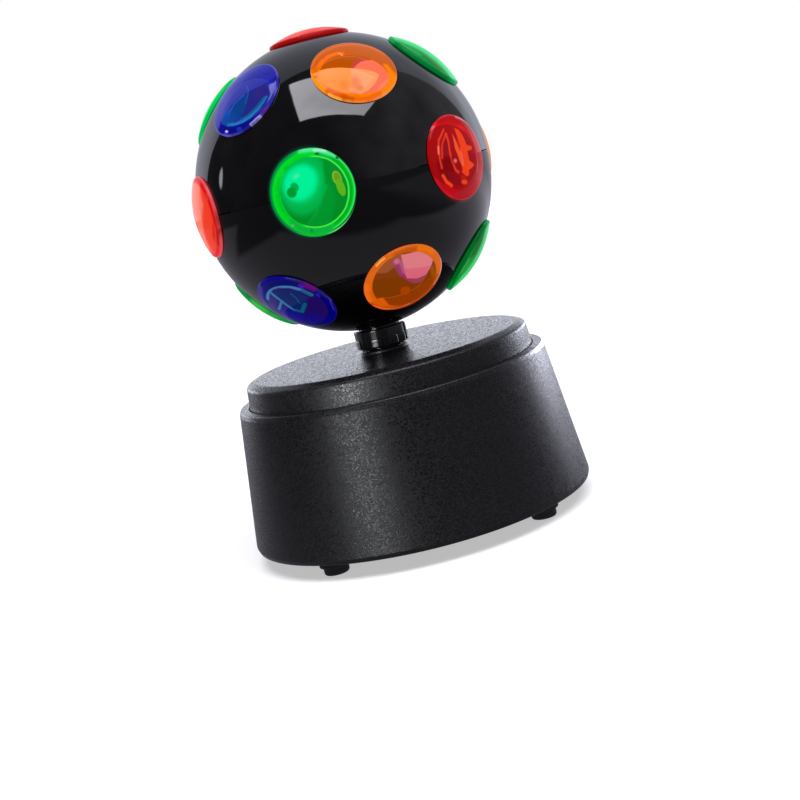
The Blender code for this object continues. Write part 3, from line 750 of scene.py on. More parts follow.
TINT = {
    "green": (0.0, 0.30, 0.06),
    "red": (0.42, 0.006, 0.008),
    "blue": (0.008, 0.012, 0.26),
    "orange": (0.55, 0.13, 0.0),
}
DOME_R = 29.6
DOME_TOP = 48.1
LENS_R = 12.5


def lens_matrix(latitude, azimuth):
    """Local Z points out of the ball, and local X lies along the frame's own right as far as
    it can, so that a pattern is laid out as it is seen."""
    out = lens_direction(latitude, azimuth)
    side = (EYE_RIGHT - out * EYE_RIGHT.dot(out)).normalized()
    high = out.cross(side)
    turn = Matrix((side, high, out)).transposed().to_4x4()
    return Matrix.Translation(Vector((0, 0, BALL_Z * MM))) @ turn


def spot(matrix, x, y):
    """A point of the frame as local (x, y) in millimetres on a lens's dome."""
    inverse = matrix.inverted()
    eye = inverse @ (Vector((0, 0, BALL_Z * MM)) + EYE * BALL_R * MM) * 1000
    ahead = (inverse.to_3x3() @ sight(x, y)).normalized()
    middle = Vector((0, 0, DOME_TOP - DOME_R))
    along = (middle - eye).dot(ahead)
    near = eye + ahead * along
    miss = (near - middle).length
    if miss < DOME_R:
        near = near - ahead * math.sqrt(DOME_R**2 - miss**2)
    return near.x, near.y


def dome_z(r, top, radius):
    return top - (radius - math.sqrt(radius * radius - r * r))


def lens_mesh(name):
    outer = [(r, dome_z(r, DOME_TOP, DOME_R)) for r in (0, 0.9, 1.8, 2.8, 3.8, 4.8, 5.8, 6.8, 7.8, 8.7, 9.5, 10.2, 10.8, 11.3, 11.7, 12.0)]
    rim = [(12.22, 45.42), (12.38, 45.24), (12.47, 45.02), (12.5, 44.78), (12.47, 44.55), (12.4, 44.38)]
    under = [(r, math.sqrt(46.04**2 - r * r)) for r in (12.2, 11.6, 11.0, 10.4, 9.95)]
    skirt = [(9.9, 44.8), (9.9, 41.3), (9.8, 41.05), (9.0, 41.05), (8.9, 41.3), (8.9, 44.9), (8.86, 45.15)]
    inner = [(r, dome_z(r, 46.9, DOME_R - 1.2)) for r in (8.6, 7.8, 6.9, 6.0, 5.1, 4.2, 3.3, 2.4, 1.6, 0.8, 0)]
    line = outer + rim + under + skirt + inner
    mesh = turned_mesh(name, line, 128, False)
    return shaded(mesh, 40)


RIM_PAINTED_GLOW = {
    # painted rim glow: middle tone, bright glints, dark specks of shade, inner line, pale outline
    "green": ((0, 200, 34), (40, 245, 90), (0, 140, 44), (80, 255, 84), (0, 128, 70)),
    "orange": ((250, 126, 0), (255, 150, 20), (214, 92, 0), (255, 140, 30), (236, 150, 92)),
    "red": ((205, 6, 12), (255, 40, 30), (140, 4, 20), (235, 60, 50), (214, 84, 92)),
    "blue": ((6, 6, 140), (40, 44, 200), (2, 2, 96), (30, 60, 190), (96, 84, 190)),
}


class Picture:
    """The light seen in one lens, painted as glow, highlights, shade and reflections in soft shapes laid one over
    another on its dome.
    Places are points of the frame and colours are display values, or, for a lens that is
    out of sight, places are local millimetres."""

    def __init__(self, name, colour, matrix=None, wobble=0.1, painted_rim_flecks=1.0, inner=10.3):
        self.made, self.net, self.shader = new_material(name)
        self.matrix, self.colour = matrix, colour
        net = self.net
        self.place = net.object_mm()
        shift = net.vector("SCALE", net.noise_vector(self.place, 0.45, 2.0), scale=wobble * 2)
        self.flat = net.vector("MULTIPLY", net.vector("ADD", self.place, shift), (1, 1, 0))
        self.radius = net.vector("LENGTH", net.vector("MULTIPLY", self.place, (1, 1, 0)))
        self.clip = self.turned = None
        middle, bright, dark, line, edge = RIM_PAINTED_GLOW[colour]
        self.now = linear(middle)
        around = net.vector("NORMALIZE", net.vector("MULTIPLY", self.place, (1, 1, 0)))
        lift = net.joined(0.0, 0.0, net.math("MULTIPLY", self.radius, 0.22))
        wide = net.noise(around, 1.5, 1.0)
        close = net.noise(net.vector("ADD", around, lift), 6.5, 2.0, 0.6)
        # painted glints of light and specks of shade in the moulded rim, and a painted pale outline at its edge
        self.over(net.steps(wide, 0.5, 0.7), bright, 0.7 * painted_rim_flecks)
        self.over(net.steps(close, 0.56, 0.68), bright, 0.75 * painted_rim_flecks)
        self.over(net.steps(close, 0.43, 0.33), dark, 0.8 * painted_rim_flecks)
        self.over(net.steps(self.radius, 12.1, 12.4), edge, 0.8)

    def spot(self, point):
        if self.turned is not None:
            return self.turned[0] * point[0] + self.turned[1] * point[1]
        if self.matrix is None:
            return Vector(point)
        return Vector(spot(self.matrix, *point))

    def over(self, mask, rgb, strength=1.0):
        net = self.net
        share = mask
        if strength != 1.0:
            share = net.math("MULTIPLY", share, strength)
        if self.clip is not None:
            share = net.math("MULTIPLY", share, self.clip)
        self.now = net.mix(share, self.now, linear(rgb))
        return self

    def inside(self, mask):
        self.clip = mask
        return self

    def measure(self, centre, a, b):
        """How far each point is from centre, where the tips of a and b are at 1."""
        c, a, b = self.spot(centre), self.spot(a), self.spot(b)
        u, v = a - c, b - c
        area = u.x * v.y - u.y * v.x
        net = self.net
        from_c = net.vector("SUBTRACT", self.flat, (c.x, c.y, 0))
        s = net.vector("DOT_PRODUCT", from_c, (v.y / area, -v.x / area, 0))
        t = net.vector("DOT_PRODUCT", from_c, (-u.y / area, u.x / area, 0))
        return net.vector("LENGTH", net.joined(s, t))

    def level(self, left, right, top, bottom):
        """How far each point is from the middle of an ellipse that has its tips at 1."""
        left, right, top, bottom = (self.spot(q) for q in (left, right, top, bottom))
        c, u, v = (left + right + top + bottom) / 4, (right - left) / 2, (top - bottom) / 2
        area = u.x * v.y - u.y * v.x
        net = self.net
        from_c = net.vector("SUBTRACT", self.flat, (c.x, c.y, 0))
        s = net.vector("DOT_PRODUCT", from_c, (v.y / area, -v.x / area, 0))
        t = net.vector("DOT_PRODUCT", from_c, (-u.y / area, u.x / area, 0))
        return net.vector("LENGTH", net.joined(s, t))

    def oval(self, centre, a, b, soft=0.1):
        return self.net.steps(self.measure(centre, a, b), 1 + soft, max(1 - soft, 0.0))

    def glow(self, centre, a, b, core=0.0):
        return self.net.steps(self.measure(centre, a, b), 1.0, core)

    def hoop(self, centre, a, b, width=0.08, soft=0.05):
        off = self.net.math("ABSOLUTE", self.net.math("SUBTRACT", self.measure(centre, a, b), 1.0))
        return self.net.steps(off, width + soft, max(width - soft, 0.0))

    def ring(self, far, level, width, soft=0.01):
        """A thin ring where the measure far is about level."""
        off = self.net.math("ABSOLUTE", self.net.math("SUBTRACT", far, level))
        return self.net.steps(off, width + soft, max(width - soft, 0.0))

    def reach(self, p, q):
        """Distance in millimetres to the left of the line from p to q, as seen."""
        d = (q - p).normalized()
        return self.net.math(
            "ADD",
            self.net.vector("DOT_PRODUCT", self.flat, (-d.y, d.x, 0)),
            d.y * p.x - d.x * p.y,
        )

    def side(self, p, q, soft=0.15):
        return self.net.steps(self.reach(self.spot(p), self.spot(q)), -soft, soft)

    def shape(self, points, soft=0.15):
        """A convex shape given by its corners."""
        spots = [self.spot(p) for p in points]
        turn = sum(a.x * b.y - a.y * b.x for a, b in zip(spots, spots[1:] + spots[:1]))
        if turn < 0:
            spots.reverse()
        least = None
        for p, q in zip(spots, spots[1:] + spots[:1]):
            off = self.reach(p, q)
            least = off if least is None else self.net.math("MINIMUM", least, off)
        return self.net.steps(least, -soft, soft)

    def stroke(self, points, width, soft=0.12, taper=None):
        """A line through the points, width millimetres across, or taper across at its end."""
        net = self.net
        spots = [self.spot(p) for p in points]
        best = None
        count = len(spots) - 1
        for i, (p, q) in enumerate(zip(spots, spots[1:])):
            d, size = (q - p).normalized(), (q - p).length
            from_p = net.vector("SUBTRACT", self.flat, (p.x, p.y, 0))
            t = net.math("DIVIDE", net.vector("DOT_PRODUCT", from_p, (d.x, d.y, 0)), size, clamp=True)
            near = net.vector("SCALE", (d.x * size, d.y * size, 0), scale=t)
            off = net.vector("DISTANCE", from_p, near)
            if taper is not None:
                w0 = width + (taper - width) * i / count
                w1 = width + (taper - width) * (i + 1) / count
                off = net.math("SUBTRACT", off, net.math("MULTIPLY_ADD", t, (w1 - w0) / 2, w0 / 2))
            else:
                off = net.math("SUBTRACT", off, width / 2)
            best = off if best is None else net.math("MINIMUM", best, off)
        return net.steps(best, soft, -soft)

    def nearest(self):
        """The direction on the lens towards the frame's own viewpoint."""
        eye = self.matrix.inverted() @ (Vector((0, 0, BALL_Z * MM)) + EYE * BALL_R * MM)
        return Vector((eye.x, eye.y, 0)).normalized()

    def away(self):
        """The half of the lens that lies farther from the frame's own viewpoint."""
        eye = self.nearest()
        along = self.net.vector("DOT_PRODUCT", self.flat, (eye.x, eye.y, 0))
        return self.net.steps(along, -2.5, -5.0)

    def edge_on(self):
        """From here on, places are millimetres across and towards the viewpoint."""
        eye = self.nearest()
        self.turned = (Vector((-eye.y, eye.x, 0)), eye)
        return self

    def chamber(self, draw, where=None):
        """Paint a colour's usual lamp-chamber glow over the lens, in the lens's own millimetres."""
        seen = self.band(0, 10.2, 0.15)
        if where is not None:
            seen = self.net.math("MULTIPLY", seen, where)
        kept = self.matrix, self.turned
        self.matrix = self.turned = None
        self.inside(seen)
        draw(self)
        self.clip = None
        self.matrix, self.turned = kept
        return self

    def band(self, low, high, soft=0.15):
        a = self.net.steps(self.radius, low - soft, low + soft)
        return self.net.math("MULTIPLY", a, self.net.steps(self.radius, high + soft, high - soft))

    def times(self, a, b):
        return self.net.math("MULTIPLY", a, b)

    def either(self, *masks):
        made = masks[0]
        for mask in masks[1:]:
            made = self.net.math("MAXIMUM", made, mask)
        return made

    def minus(self, a, b):
        return self.net.math("MULTIPLY", a, self.net.math("SUBTRACT", 1.0, b))

    def mottle(self, scale, low, high, rgb, strength=1.0, detail=2.0):
        return self.over(
            self.net.steps(self.net.noise(self.place, scale, detail), low, high), rgb, strength
        )

    def done(self, strength=1.0, ior=1.3):
        net = self.net
        # only the outer face carries the painted glow; the skirt and the hollow side stay dark
        x, y, z = net.split(self.place)
        bulge = net.math("MULTIPLY", net.math("MULTIPLY", self.radius, self.radius), 0.0172)
        outer = net.steps(net.math("ADD", z, bulge), 46.93, 47.05)
        glowing = net.vector("SCALE", self.now, scale=outer)
        self.shader.inputs["Base Color"].default_value = (*[v * 0.25 for v in TINT[self.colour]], 1.0)
        net.put(
            self.shader.inputs["Roughness"],
            net.steps(net.noise(self.place, 0.7, 3.0), 0.3, 0.7, 0.02, 0.06, "LINEAR"),
        )
        net.put(self.shader.inputs["Normal"], net.bump(net.noise(self.place, 0.25, 1.0), 0.03, 0.001))
        self.shader.inputs["IOR"].default_value = ior
        net.put(self.shader.inputs["Emission Color"], glowing)
        self.shader.inputs["Emission Strength"].default_value = strength
        return self.made


MATRIX = {name: lens_matrix(lat, az) for name, lat, az, _ in LENSES}


# Each lens picture below is painted light: the lamp glow seen through the lens, with painted highlights, glints and
# reflections on its dome.
def green_chamber(p):
    p.over(p.band(0, 10.4), (0, 148, 42))
    p.over(p.glow((-2.6, 2.0), (5.2, 3.0), (-3.0, -6.0), 0.3), (0, 214, 112))
    p.over(p.glow((-3.0, 2.6), (3.0, 3.2), (-3.0, -2.6), 0.3), (0, 240, 150))
    p.over(p.oval((-3.6, -0.4), (-2.2, -0.2), (-3.8, 1.4), 0.3), (0, 158, 54))
    p.over(p.oval((6.2, 2.0), (7.2, 2.6), (5.6, 4.4), 0.2), (92, 172, 16), 0.9)
    p.over(p.stroke([(1.4, -3.0), (0.6, -6.0), (-2.0, -8.8)], 0.3, 0.25), (0, 184, 72), 0.8)


def plain_green():
    p = Picture("lens_green_plain", "green", wobble=0.25)
    p.over(p.band(9.9, 10.5, 0.12), (80, 255, 80), 0.8)
    p.chamber(green_chamber)
    return p.done()


def red_chamber(p):
    p.over(p.band(0, 10.4), (158, 8, 16))
    p.over(p.stroke([(-5.4, 6.0), (-6.8, 0.0), (-5.0, -6.0)], 0.5, 0.3), (238, 68, 44), 0.9)
    p.over(p.stroke([(-3.2, 5.4), (-1.6, 0.0), (0.4, -5.6)], 0.6, 0.3), (236, 70, 42), 0.9)
    p.over(p.shape([(-1.0, 7.6), (2.4, 6.6), (5.4, 0.0), (5.0, -6.4), (3.0, -7.0), (1.2, -1.0)], 0.3), (238, 64, 22))
    p.over(p.oval((6.4, -1.6), (7.6, -1.4), (6.2, 0.4), 0.25), (142, 12, 24), 0.9)
    p.over(p.glow((-4.0, -1.0), (-2.0, -1.0), (-4.2, 3.6), 0.3), (116, 4, 12), 0.9)
    p.over(p.glow((0.4, -1.8), (1.2, -1.8), (0.4, -0.8), 0.2), (238, 110, 118), 0.9)


def plain_red():
    p = Picture("lens_red_plain", "red", wobble=0.25)
    p.over(p.band(9.9, 10.5, 0.12), (226, 66, 60), 0.8)
    p.chamber(red_chamber)
    return p.done()


def blue_chamber(p):
    p.over(p.band(0, 10.4), (26, 16, 104))
    p.over(p.glow((2.6, -2.0), (9.0, -2.0), (2.6, -8.0), 0.3), (34, 12, 92), 0.8)
    p.over(p.glow((-3.0, 1.0), (2.4, 1.0), (-3.0, 6.0), 0.3), (2, 62, 128), 0.9)
    p.over(p.stroke([(-8.0, -3.0), (-6.0, 4.6), (0.0, 7.4), (6.0, 4.6)], 1.0, 0.4, 0.6), (52, 116, 178), 0.9)
    p.over(p.stroke([(-6.4, 2.4), (-1.0, -1.8), (4.0, -6.0)], 1.0, 0.35, 0.7), (34, 112, 156), 0.9)


def plain_blue():
    p = Picture("lens_blue_plain", "blue", wobble=0.25)
    p.over(p.band(9.9, 10.5, 0.12), (40, 70, 200), 0.7)
    p.chamber(blue_chamber)
    return p.done()


def orange_chamber(p):
    p.over(p.band(0, 10.4), (150, 66, 0))
    p.over(p.side((-12, 1.4), (12, 2.6), 0.3), (176, 84, 10), 0.9)
    p.over(p.oval((3.4, 2.4), (9.4, 3.6), (3.0, 7.8), 0.1), (176, 62, 84))
    p.over(p.oval((4.2, 2.8), (9.2, 3.8), (3.8, 7.4), 0.1), (240, 112, 98))
    p.over(p.oval((0.6, -4.6), (2.0, -4.6), (0.6, -3.2), 0.25), (192, 74, 0), 0.9)


def plain_orange():
    p = Picture("lens_orange_plain", "orange", wobble=0.25)
    p.over(p.band(9.9, 10.5, 0.12), (255, 150, 40), 0.7)
    p.chamber(orange_chamber)
    return p.done()


def green_middle():
    p = Picture("lens_green_front", "green", MATRIX["lens_middle_1"], painted_rim_flecks=0.35)
    far = p.level((280.6, 191), (348.6, 193), (315, 156.4), (314, 227))
    disc = p.net.steps(far, 1.012, 0.988)
    left = p.side((300, 230), (296, 150), 3.0)
    right = p.side((331, 150), (336, 236), 1.6)
    # the moulded rim's painted glow: pure green at the left, mint on top, a double edge at the right
    p.over(p.times(p.band(10.4, 12.3, 0.7), left), (0, 226, 18), 0.9)
    p.over(p.times(p.band(11.6, 13.0, 0.5), left), (0, 112, 66), 0.9)
    p.over(p.stroke([(292, 223), (301, 229), (314, 231.6), (330, 228.6)], 1.6, 0.7), (4, 176, 60), 0.9)
    # painted highlights along the top of the rim
    p.over(p.stroke([(300, 151.8), (318, 149.8), (337, 157)], 1.2, 0.6), (70, 238, 150), 0.95)
    p.over(p.stroke([(314, 150.4), (325, 150.8)], 0.7, 0.45), (170, 240, 200), 0.9)
    p.over(p.stroke([(297, 155.5), (313, 153.4)], 1.0, 0.4), (0, 218, 10), 0.9)
    p.over(p.stroke([(319, 155), (336, 162)], 1.4, 0.5), (0, 180, 52), 0.85)
    p.over(p.oval((317, 153.6), (319.4, 153.6), (317, 155), 0.3), (0, 116, 52))
    p.over(p.times(p.ring(far, 1.075, 0.04, 0.03), right), (0, 168, 24), 0.95)
    p.over(p.times(p.ring(far, 1.165, 0.015, 0.015), right), (60, 248, 96), 0.9)
    p.over(p.times(p.ring(far, 1.205, 0.016, 0.015), right), (0, 44, 22), 0.95)
    p.over(p.times(p.ring(far, 1.247, 0.018, 0.02), p.side((322, 140), (332, 236), 2.0)), (112, 240, 140), 0.9)
    p.over(p.oval((336.9, 157.6), (338.4, 158.6), (336.2, 158.6), 0.4), (0, 70, 44))
    p.over(p.oval((292.8, 225.5), (294.4, 225.5), (292.8, 226.8), 0.4), (90, 190, 110), 0.8)
    p.over(p.oval((311.7, 231), (313, 231), (311.7, 233.4), 0.4), (0, 146, 36), 0.8)
    # the lamp chamber behind, painted as glow
    p.inside(disc)
    p.over(disc, (0, 138, 31))
    p.over(p.shape([(318, 203), (330, 180), (336, 200), (330, 226), (308, 226)], 0.8), (0, 150, 42), 0.85)
    p.over(p.shape([(319, 183), (327.5, 184), (327, 189), (321, 200), (318, 200)], 0.35), (0, 172, 70), 0.9)
    p.over(p.oval((302, 184), (325, 184), (302, 213), 0.1), (0, 176, 70))
    edge = p.side((322.6, 205), (324.3, 150), 0.4)
    p.over(p.times(p.oval((303, 184), (328, 182), (303, 215), 0.2), edge), (0, 178, 72), 0.9)
    p.over(p.times(p.glow((301, 184), (326, 180), (303, 210), 0.45), edge), (0, 212, 108))
    p.over(p.times(p.glow((300, 183), (321, 178), (302, 204), 0.6), edge), (0, 244, 154))
    # a painted pale streak of light at the upper left of the chamber
    p.over(p.glow((296, 176.3), (300, 172.6), (298.4, 178.8), 0.2), (64, 243, 170), 0.85)
    p.over(p.oval((294.6, 187.2), (298.9, 187.6), (294.4, 182.6), 0.16), (0, 172, 72))
    p.over(p.oval((291.8, 192.6), (296.9, 193.2), (292, 187.4), 0.16), (0, 152, 42))
    p.over(p.shape([(284.4, 206.6), (290, 212.4), (308.4, 211.8), (318.4, 203.4), (317, 212), (306, 224), (290, 222)], 0.3), (0, 136, 28))
    p.over(p.stroke([(319, 203.6), (316, 214), (308.2, 223)], 0.3, 0.25), (0, 170, 60), 0.8)
    p.over(p.oval((336.9, 177.8), (339.4, 184.6), (341.2, 176.4), 0.08), (122, 184, 38))
    p.over(p.oval((337.4, 178), (339.4, 183.4), (340.4, 177), 0.12), (112, 150, 4))
    p.over(p.oval((340.8, 187.4), (344, 195.8), (344.6, 186), 0.08), (96, 178, 10))
    p.clip = None
    p.over(p.times(p.ring(far, 1.005, 0.014, 0.02), p.side((312, 150), (304, 236), 1.2)), (78, 255, 76), 0.95)
    return p.done(0.92, ior=1.22)


def orange_upper():
    p = Picture("lens_orange_top", "orange", MATRIX["lens_upper_1"], painted_rim_flecks=0.35)
    disc = p.net.steps(p.level((318.6, 73), (388.8, 77.6), (353.6, 56.2), (353.6, 95.2)), 1.014, 0.986)
    p.over(p.side((314, 70), (394, 74), 2.0), (182, 74, 0), 0.95)
    p.over(p.stroke([(386, 66), (392, 73), (392.8, 80), (388, 88)], 1.6, 0.8), (252, 132, 0), 0.9)
    p.over(p.stroke([(319.4, 66), (323, 60.5), (329.5, 56), (337, 53.4), (341.5, 53.6)], 1.5, 0.5), (252, 106, 0), 0.95)
    # a painted hook-shaped highlight
    p.over(p.stroke([(338.8, 53.2), (341.6, 54.6), (342.6, 56.2)], 0.35, 0.2), (255, 172, 90), 0.9)
    p.over(p.stroke([(322.4, 59.4), (325, 57.2)], 0.25, 0.15), (150, 70, 10), 0.7)
    p.over(p.stroke([(312, 66), (315.5, 59), (324, 51.5), (338, 46), (354, 44.6), (370, 47), (384, 54.5)], 0.7, 0.3), (212, 104, 20), 0.9)
    p.over(p.stroke([(313, 76), (317.4, 85), (325, 91)], 1.2, 0.6), (255, 148, 0), 0.9)
    p.over(p.oval((315.4, 71.4), (317.4, 71.4), (315.4, 73), 0.4), (214, 92, 0), 0.9)
    p.over(p.oval((315.8, 77), (317.2, 77), (315.8, 78.6), 0.4), (205, 86, 0), 0.9)
    p.over(p.stroke([(328, 90), (336, 93.6), (345, 96.4)], 1.5, 0.5), (222, 82, 0), 0.95)
    p.over(p.stroke([(354, 99), (362, 99), (370, 98), (380, 93)], 1.2, 0.5), (236, 94, 0), 0.9)
    p.over(p.stroke([(342, 97), (352, 98.8)], 1.2, 0.5), (190, 68, 0), 0.9)
    # painted highlights along the lower rim
    p.over(p.stroke([(329, 94), (334, 97), (341, 99.6)], 0.8, 0.3), (255, 172, 60), 0.95)
    p.over(p.stroke([(344, 100.4), (356, 102), (368, 101.4)], 0.6, 0.3), (255, 152, 40), 0.7)
    p.inside(disc)
    p.over(disc, (166, 64, 0))
    # painted glow of the purple crescent and of the coral chamber behind it
    p.over(p.shape([(350.6, 69.4), (352, 64.4), (355, 60.6), (359.6, 58), (364, 58.4), (369, 61), (366, 70)], 0.14), (178, 50, 60))
    p.over(p.shape([(352.6, 69.6), (356.4, 65.2), (360.6, 61.8), (366, 60.6), (372, 60), (384, 66), (392, 78), (388, 90), (372, 99), (352, 99), (342, 94)], 0.16), (252, 108, 88))
    p.over(p.glow((382, 86), (393, 78), (374, 99), 0.1), (250, 132, 96), 0.85)
    # painted reflection of the overhead softbox: the pale glare over the lower part
    left = p.shape([(316, 71.4), (327, 68.6), (340, 67.6), (351, 68.2), (351.8, 80), (349.6, 95), (336, 94), (316, 86)], 0.16)
    right = p.shape([(350, 68.1), (361, 69), (374, 71.6), (378.6, 74.2), (378.8, 76), (375, 83.6), (368, 90.4), (360, 94.6), (349, 93)], 0.2)
    p.over(right, (247, 156, 104))
    p.over(p.times(right, p.glow((355, 82), (364, 82), (356, 94), 0.2)), (230, 114, 60), 0.8)
    p.over(p.times(right, p.glow((360, 88), (366, 88), (360, 93), 0.2)), (226, 110, 46), 0.8)
    p.over(left, (245, 140, 46))
    p.over(p.times(left, p.glow((330, 73), (343, 73), (330, 82), 0.2)), (250, 148, 64), 0.8)
    p.over(p.times(left, p.glow((344, 85), (353, 85), (344, 95), 0.1)), (234, 122, 34), 0.9)
    p.over(p.oval((351, 93.6), (360, 93), (352, 96), 0.3), (248, 116, 92), 0.8)
    p.over(p.stroke([(319.4, 70.4), (323, 64.6), (329, 60.6), (341.5, 57), (357, 56.8), (369.6, 61), (382, 69), (388, 73)], 0.3, 0.2), (232, 108, 6), 0.6)
    return p.done(0.95, ior=1.17)



def orange_lower():
    p = Picture("lens_orange_low", "orange", MATRIX["lens_lower_1"], painted_rim_flecks=0.35)
    disc = p.net.steps(p.level((372.6, 286.4), (436.4, 269), (404, 254.4), (404, 304.6)), 1.014, 0.986)
    p.over(p.band(0, 13, 0.3), (200, 80, 6), 0.85)
    p.over(p.side((442, 268), (384, 310), 3.0), (134, 44, 2), 0.85)
    p.over(p.stroke([(368, 290), (371, 277), (380, 266), (390, 258)], 1.3, 0.8), (222, 98, 12), 0.85)
    p.over(p.stroke([(396, 255), (408, 250), (416, 249)], 1.2, 0.7), (180, 72, 0), 0.85)
    p.over(p.stroke([(419, 248.6), (427, 249.4), (433, 252.6)], 1.3, 0.7), (232, 112, 0), 0.85)
    p.over(p.stroke([(434, 254), (439, 262), (438.6, 272)], 1.4, 0.7), (208, 98, 34), 0.9)
    p.over(p.stroke([(437, 277), (429, 290), (418, 299), (405, 305)], 0.5, 0.3), (206, 78, 4), 0.9)
    p.over(p.stroke([(366.4, 286), (366.4, 294), (370, 301)], 1.5, 0.8), (240, 106, 22), 0.8)
    p.over(p.stroke([(371, 303.6), (378, 307), (387, 308)], 1.1, 0.5), (200, 60, 6), 0.95)
    p.over(p.stroke([(374, 305.8), (386, 308.8), (398, 307.6), (410, 303.4)], 0.35, 0.2), (255, 112, 60), 0.9)
    # painted highlights: a pale glint line at the upper left and a whitish line along the right edge
    p.over(p.stroke([(376.4, 266.6), (381.4, 261.4), (385, 258.6)], 0.2, 0.12), (255, 196, 110), 0.9)
    p.over(p.stroke([(441, 258), (441.6, 265), (439.6, 274), (434, 284)], 0.3, 0.2), (226, 176, 158), 0.8)
    p.inside(disc)
    p.over(disc, (118, 50, 0))
    p.over(p.shape([(373, 279.6), (380, 277), (386.6, 272.8), (397.4, 271.2), (404, 250), (380, 250), (364, 280)], 0.3), (146, 76, 40), 0.95)
    low = p.either(
        p.shape([(370, 299), (391, 297.3), (400.6, 294.9), (411.8, 290.2), (412, 320), (370, 320)], 0.2),
        p.shape([(411.8, 290.2), (418.2, 286.1), (426.4, 275.2), (446, 262), (446, 320), (411, 320)], 0.2),
    )
    p.over(low, (137, 53, 0))
    p.over(p.stroke([(374, 298.8), (391.2, 297.3), (400.6, 294.9), (411.8, 290.2), (418.2, 286.1), (426, 275.6)], 0.28, 0.2), (190, 82, 22), 0.8)
    p.over(p.shape([(378, 298.6), (383, 297.8), (390, 306), (386, 309), (378, 305)], 0.4), (224, 88, 10), 0.95)
    p.over(p.oval((405.4, 290.8), (410.4, 290), (405.4, 294.8), 0.2), (162, 60, 0), 0.95)
    p.over(p.glow((433, 272), (436.6, 271), (434, 280), 0.3), (144, 78, 0), 0.9)
    p.over(p.shape([(397.4, 266), (399, 272), (402.4, 276.6), (407.6, 280.4), (414, 283), (420, 282), (427, 275), (420, 270), (400, 262)], 0.25), (148, 42, 104))
    p.over(p.shape([(408, 281), (414.6, 283.6), (421, 281), (427.6, 274.6), (420, 276)], 0.25), (150, 56, 76), 0.8)
    p.over(p.shape([(400.5, 255), (402.4, 262), (404, 270.9), (407, 277.9), (417.6, 278.2), (426.4, 274), (431.6, 264.6), (434, 256), (420, 250)], 0.16), (214, 118, 126))
    p.over(p.shape([(404.4, 268.8), (418, 267.6), (430.6, 265.4), (426.4, 274), (417.6, 278.2), (407, 277.9)], 0.2), (210, 97, 118))
    p.over(p.glow((396.8, 261.6), (401, 259.4), (398, 265.4), 0.3), (196, 102, 150), 0.95)
    p.over(p.stroke([(400.6, 262), (402.2, 267), (404.4, 272)], 1.0, 0.5), (182, 92, 130), 0.7)
    p.over(p.stroke([(393.8, 264), (397, 268.4), (401, 275)], 0.8, 0.5), (150, 52, 104), 0.7)
    return p.done(ior=1.22)



